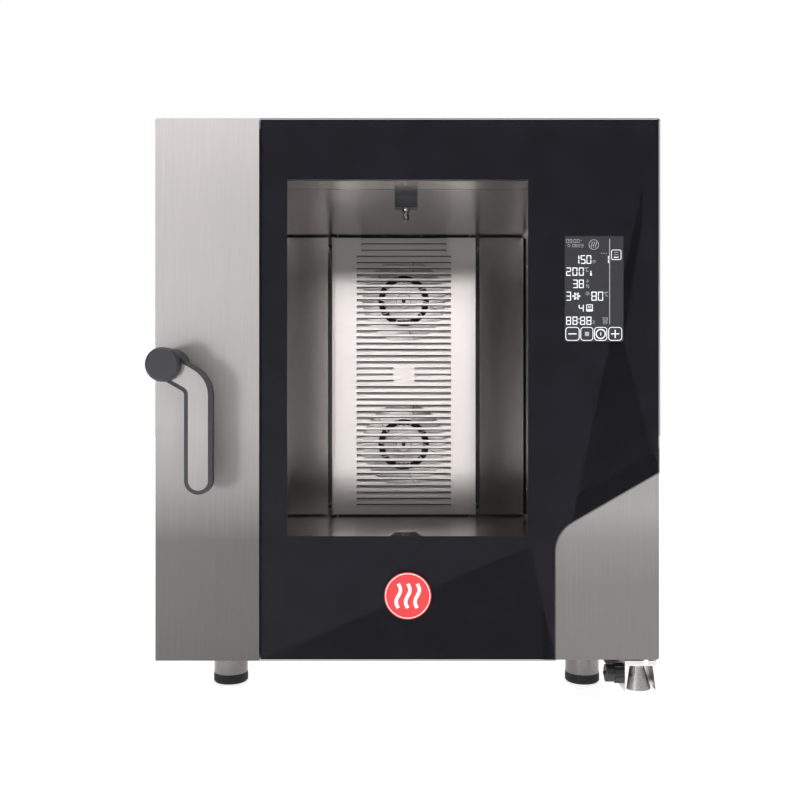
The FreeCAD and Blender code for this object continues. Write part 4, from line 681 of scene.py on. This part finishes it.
def make_fan_marks():
    """Painted shade in the screw recess, centring circle and weld marks on the front of each fan wheel."""
    for name, body in (("lower", "fan_lower"), ("upper", "fan_upper")):
        low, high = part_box("fan_wheel_" + name)
        centre = (low[2] + high[2]) / 2
        shaft_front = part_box("fan_shaft_" + name)[0][1]
        corner = (-FAN_MIDDLE * MM, 0, centre + FAN_MIDDLE * MM)
        # A black disc painted over the shaft's end as the shade in the screw recess.
        recess_shade = Plates(corner, shaft_front - MARK, MARK)
        recess_shade.disc(FAN_MIDDLE, FAN_MIDDLE, 4.2, 24)
        recess_shade.finish("fan_recess_shade_" + name, looks["gland"], body)
        marks = Plates(corner, low[1] - MARK, MARK)
        for start, lean in WELDS:
            near = math.radians(start)
            far = math.radians(start + lean)
            marks.stroke([(FAN_MIDDLE + reach * math.cos(angle), FAN_MIDDLE + reach * math.sin(angle))
                          for reach, angle in ((WELD_NEAR, near), (WELD_FAR, far))], 1.3)
        marks.hoop(FAN_MIDDLE, FAN_MIDDLE, 15.9, 0.8)
        marks.finish("fan_marks_" + name, looks["gland"], body)


make_display()
make_badge()
make_fan_marks()
make_slot_shadows()


# Studio --------------------------------------------------------------------------------------

FLOOR_REACH = 9
FLOOR_CELLS = 8
FLOOR_LEVEL = -0.0005


def make_floor():
    """A pale floor that melts into the white background, just under the feet."""
    mesh = bpy.data.meshes.new("floor")
    row = FLOOR_CELLS + 1
    places = [-FLOOR_REACH + 2 * FLOOR_REACH * i / FLOOR_CELLS for i in range(row)]
    points = [(x, y, FLOOR_LEVEL) for y in places for x in places]
    faces = [(first, first + 1, first + row + 1, first + row)
             for first in (j * row + i for j in range(FLOOR_CELLS) for i in range(FLOOR_CELLS))]
    mesh.from_pydata(points, [], faces)
    look = Look("pale_floor", (0.9, 0.9, 0.9), rough=0.7, Emission_Strength=0.7)
    look.set("Emission Color", (1, 1, 1, 1))
    clouds = look.noise(2.5, detail=3.0)
    look.tint(clouds, 0.985, 1.015)
    look.polish(clouds, 0.65, 0.75)
    mesh.materials.append(look.material)
    floor = bpy.data.objects.new("floor", mesh)
    bpy.context.scene.collection.objects.link(floor)


def make_world():
    """White where the camera sees it; a dim sky, darker below, where it lights and mirrors."""
    world = bpy.data.worlds.new("studio")
    bpy.context.scene.world = world
    world.use_nodes = True
    tree = world.node_tree
    tree.nodes.clear()
    out = tree.nodes.new("ShaderNodeOutputWorld")
    seen = tree.nodes.new("ShaderNodeBackground")
    seen.inputs["Color"].default_value = (1, 1, 1, 1)
    seen.inputs["Strength"].default_value = 1.0
    fill = tree.nodes.new("ShaderNodeBackground")
    fill.inputs["Strength"].default_value = 1.0
    sky = tree.nodes.new("ShaderNodeValToRGB")
    sky.color_ramp.elements[0].position = 0.42
    sky.color_ramp.elements[0].color = (0.06, 0.06, 0.06, 1)
    sky.color_ramp.elements[1].position = 0.75
    sky.color_ramp.elements[1].color = (0.5, 0.5, 0.5, 1)
    coords = tree.nodes.new("ShaderNodeTexCoord")
    split = tree.nodes.new("ShaderNodeSeparateXYZ")
    up = tree.nodes.new("ShaderNodeMapRange")
    up.inputs["From Min"].default_value = -1
    up.inputs["From Max"].default_value = 1
    path = tree.nodes.new("ShaderNodeLightPath")
    choice = tree.nodes.new("ShaderNodeMixShader")
    for source, target in ((coords.outputs["Generated"], split.inputs["Vector"]),
                           (split.outputs["Z"], up.inputs["Value"]),
                           (up.outputs["Result"], sky.inputs["Fac"]),
                           (sky.outputs["Color"], fill.inputs["Color"]),
                           (path.outputs["Is Camera Ray"], choice.inputs["Fac"]),
                           (fill.outputs["Background"], choice.inputs[1]),
                           (seen.outputs["Background"], choice.inputs[2]),
                           (choice.outputs["Shader"], out.inputs["Surface"])):
        tree.links.new(source, target)


def area_light(name, place, aim, size, watts, colour=(1, 1, 1)):
    """A rectangular soft light at place, turned towards aim, that the camera doesn't see."""
    lamp = bpy.data.lights.new(name, "AREA")
    lamp.shape = "RECTANGLE"
    lamp.size, lamp.size_y = size
    lamp.energy = watts
    lamp.color = colour
    holder = bpy.data.objects.new(name, lamp)
    holder.location = place
    holder.rotation_euler = (Vector(aim) - Vector(place)).to_track_quat("-Z", "Y").to_euler()
    holder.visible_camera = False
    bpy.context.scene.collection.objects.link(holder)
    return holder


BEAM_COLOUR = (1.0, 0.97, 0.95)
BEAM_COUNT = 8
BEAM_PITCH = 0.06
BEAM_AWAY = 0.12
BEAM_LIFT = 0.1


def make_lights():
    """Overhead sun, soft boxes, and narrow beams for the cavity's ceiling and the air deflector."""
    cavity_low, cavity_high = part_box("cavity_shell")
    deflector_low, deflector_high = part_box("air_deflector")
    middle = (deflector_low[2] + deflector_high[2]) / 2
    sun = bpy.data.lights.new("overhead", "SUN")
    sun.energy = 1.8
    sun.angle = math.radians(60)
    holder = bpy.data.objects.new("overhead", sun)
    holder.rotation_euler = (math.radians(6), math.radians(-4), 0)
    bpy.context.scene.collection.objects.link(holder)
    area_light("front_box", (-0.6, -3.4, 2.2), (0, -0.3, 0.6), (2.6, 1.4), 4)
    area_light("low_side", (-1.35, -2.55, 0.16), (-0.3, FRONT, 0.45), (0.42, 0.42), 12)
    area_light("back_box", (0.4, 3.4, 2.0), (0, 0.3, 0.5), (2.6, 1.6), 20)
    face = deflector_low[1]
    beams = [("cavity_up", (0, 0.0, cavity_low[2] + 0.1), (0, 0.02, cavity_high[2]), (0.14, 0.3), 0.035, 50)]
    for k in range(BEAM_COUNT):
        level = middle + 0.012 + (k - (BEAM_COUNT - 1) / 2) * BEAM_PITCH
        beams.append((f"deflector_{k}", (0, face - BEAM_AWAY, level + BEAM_LIFT), (0, face, level),
                      (0.32, 0.046), 0.068, 34))
    for name, place, aim, size, watts, spread in beams:
        beam = area_light(name, place, aim, size, watts, BEAM_COLOUR)
        beam.data.spread = math.radians(spread)


CAMERA_AWAY = 1.408


def make_camera():
    """Straight on, at the height of the handle, a little to the left of the middle."""
    camera = bpy.data.cameras.new("front")
    camera.sensor_width = 36
    camera.lens = 42.66
    camera.shift_x = 0.00675
    camera.shift_y = -0.00625
    camera.clip_end = 50
    holder = bpy.data.objects.new("front", camera)
    holder.location = (-0.0195, FRONT - CAMERA_AWAY, 0.4648)
    holder.rotation_euler = (math.radians(90), 0, 0)
    bpy.context.scene.collection.objects.link(holder)
    bpy.context.scene.camera = holder


make_floor()
make_world()
make_lights()
make_camera()
bpy.context.scene.view_settings.view_transform = "Standard"
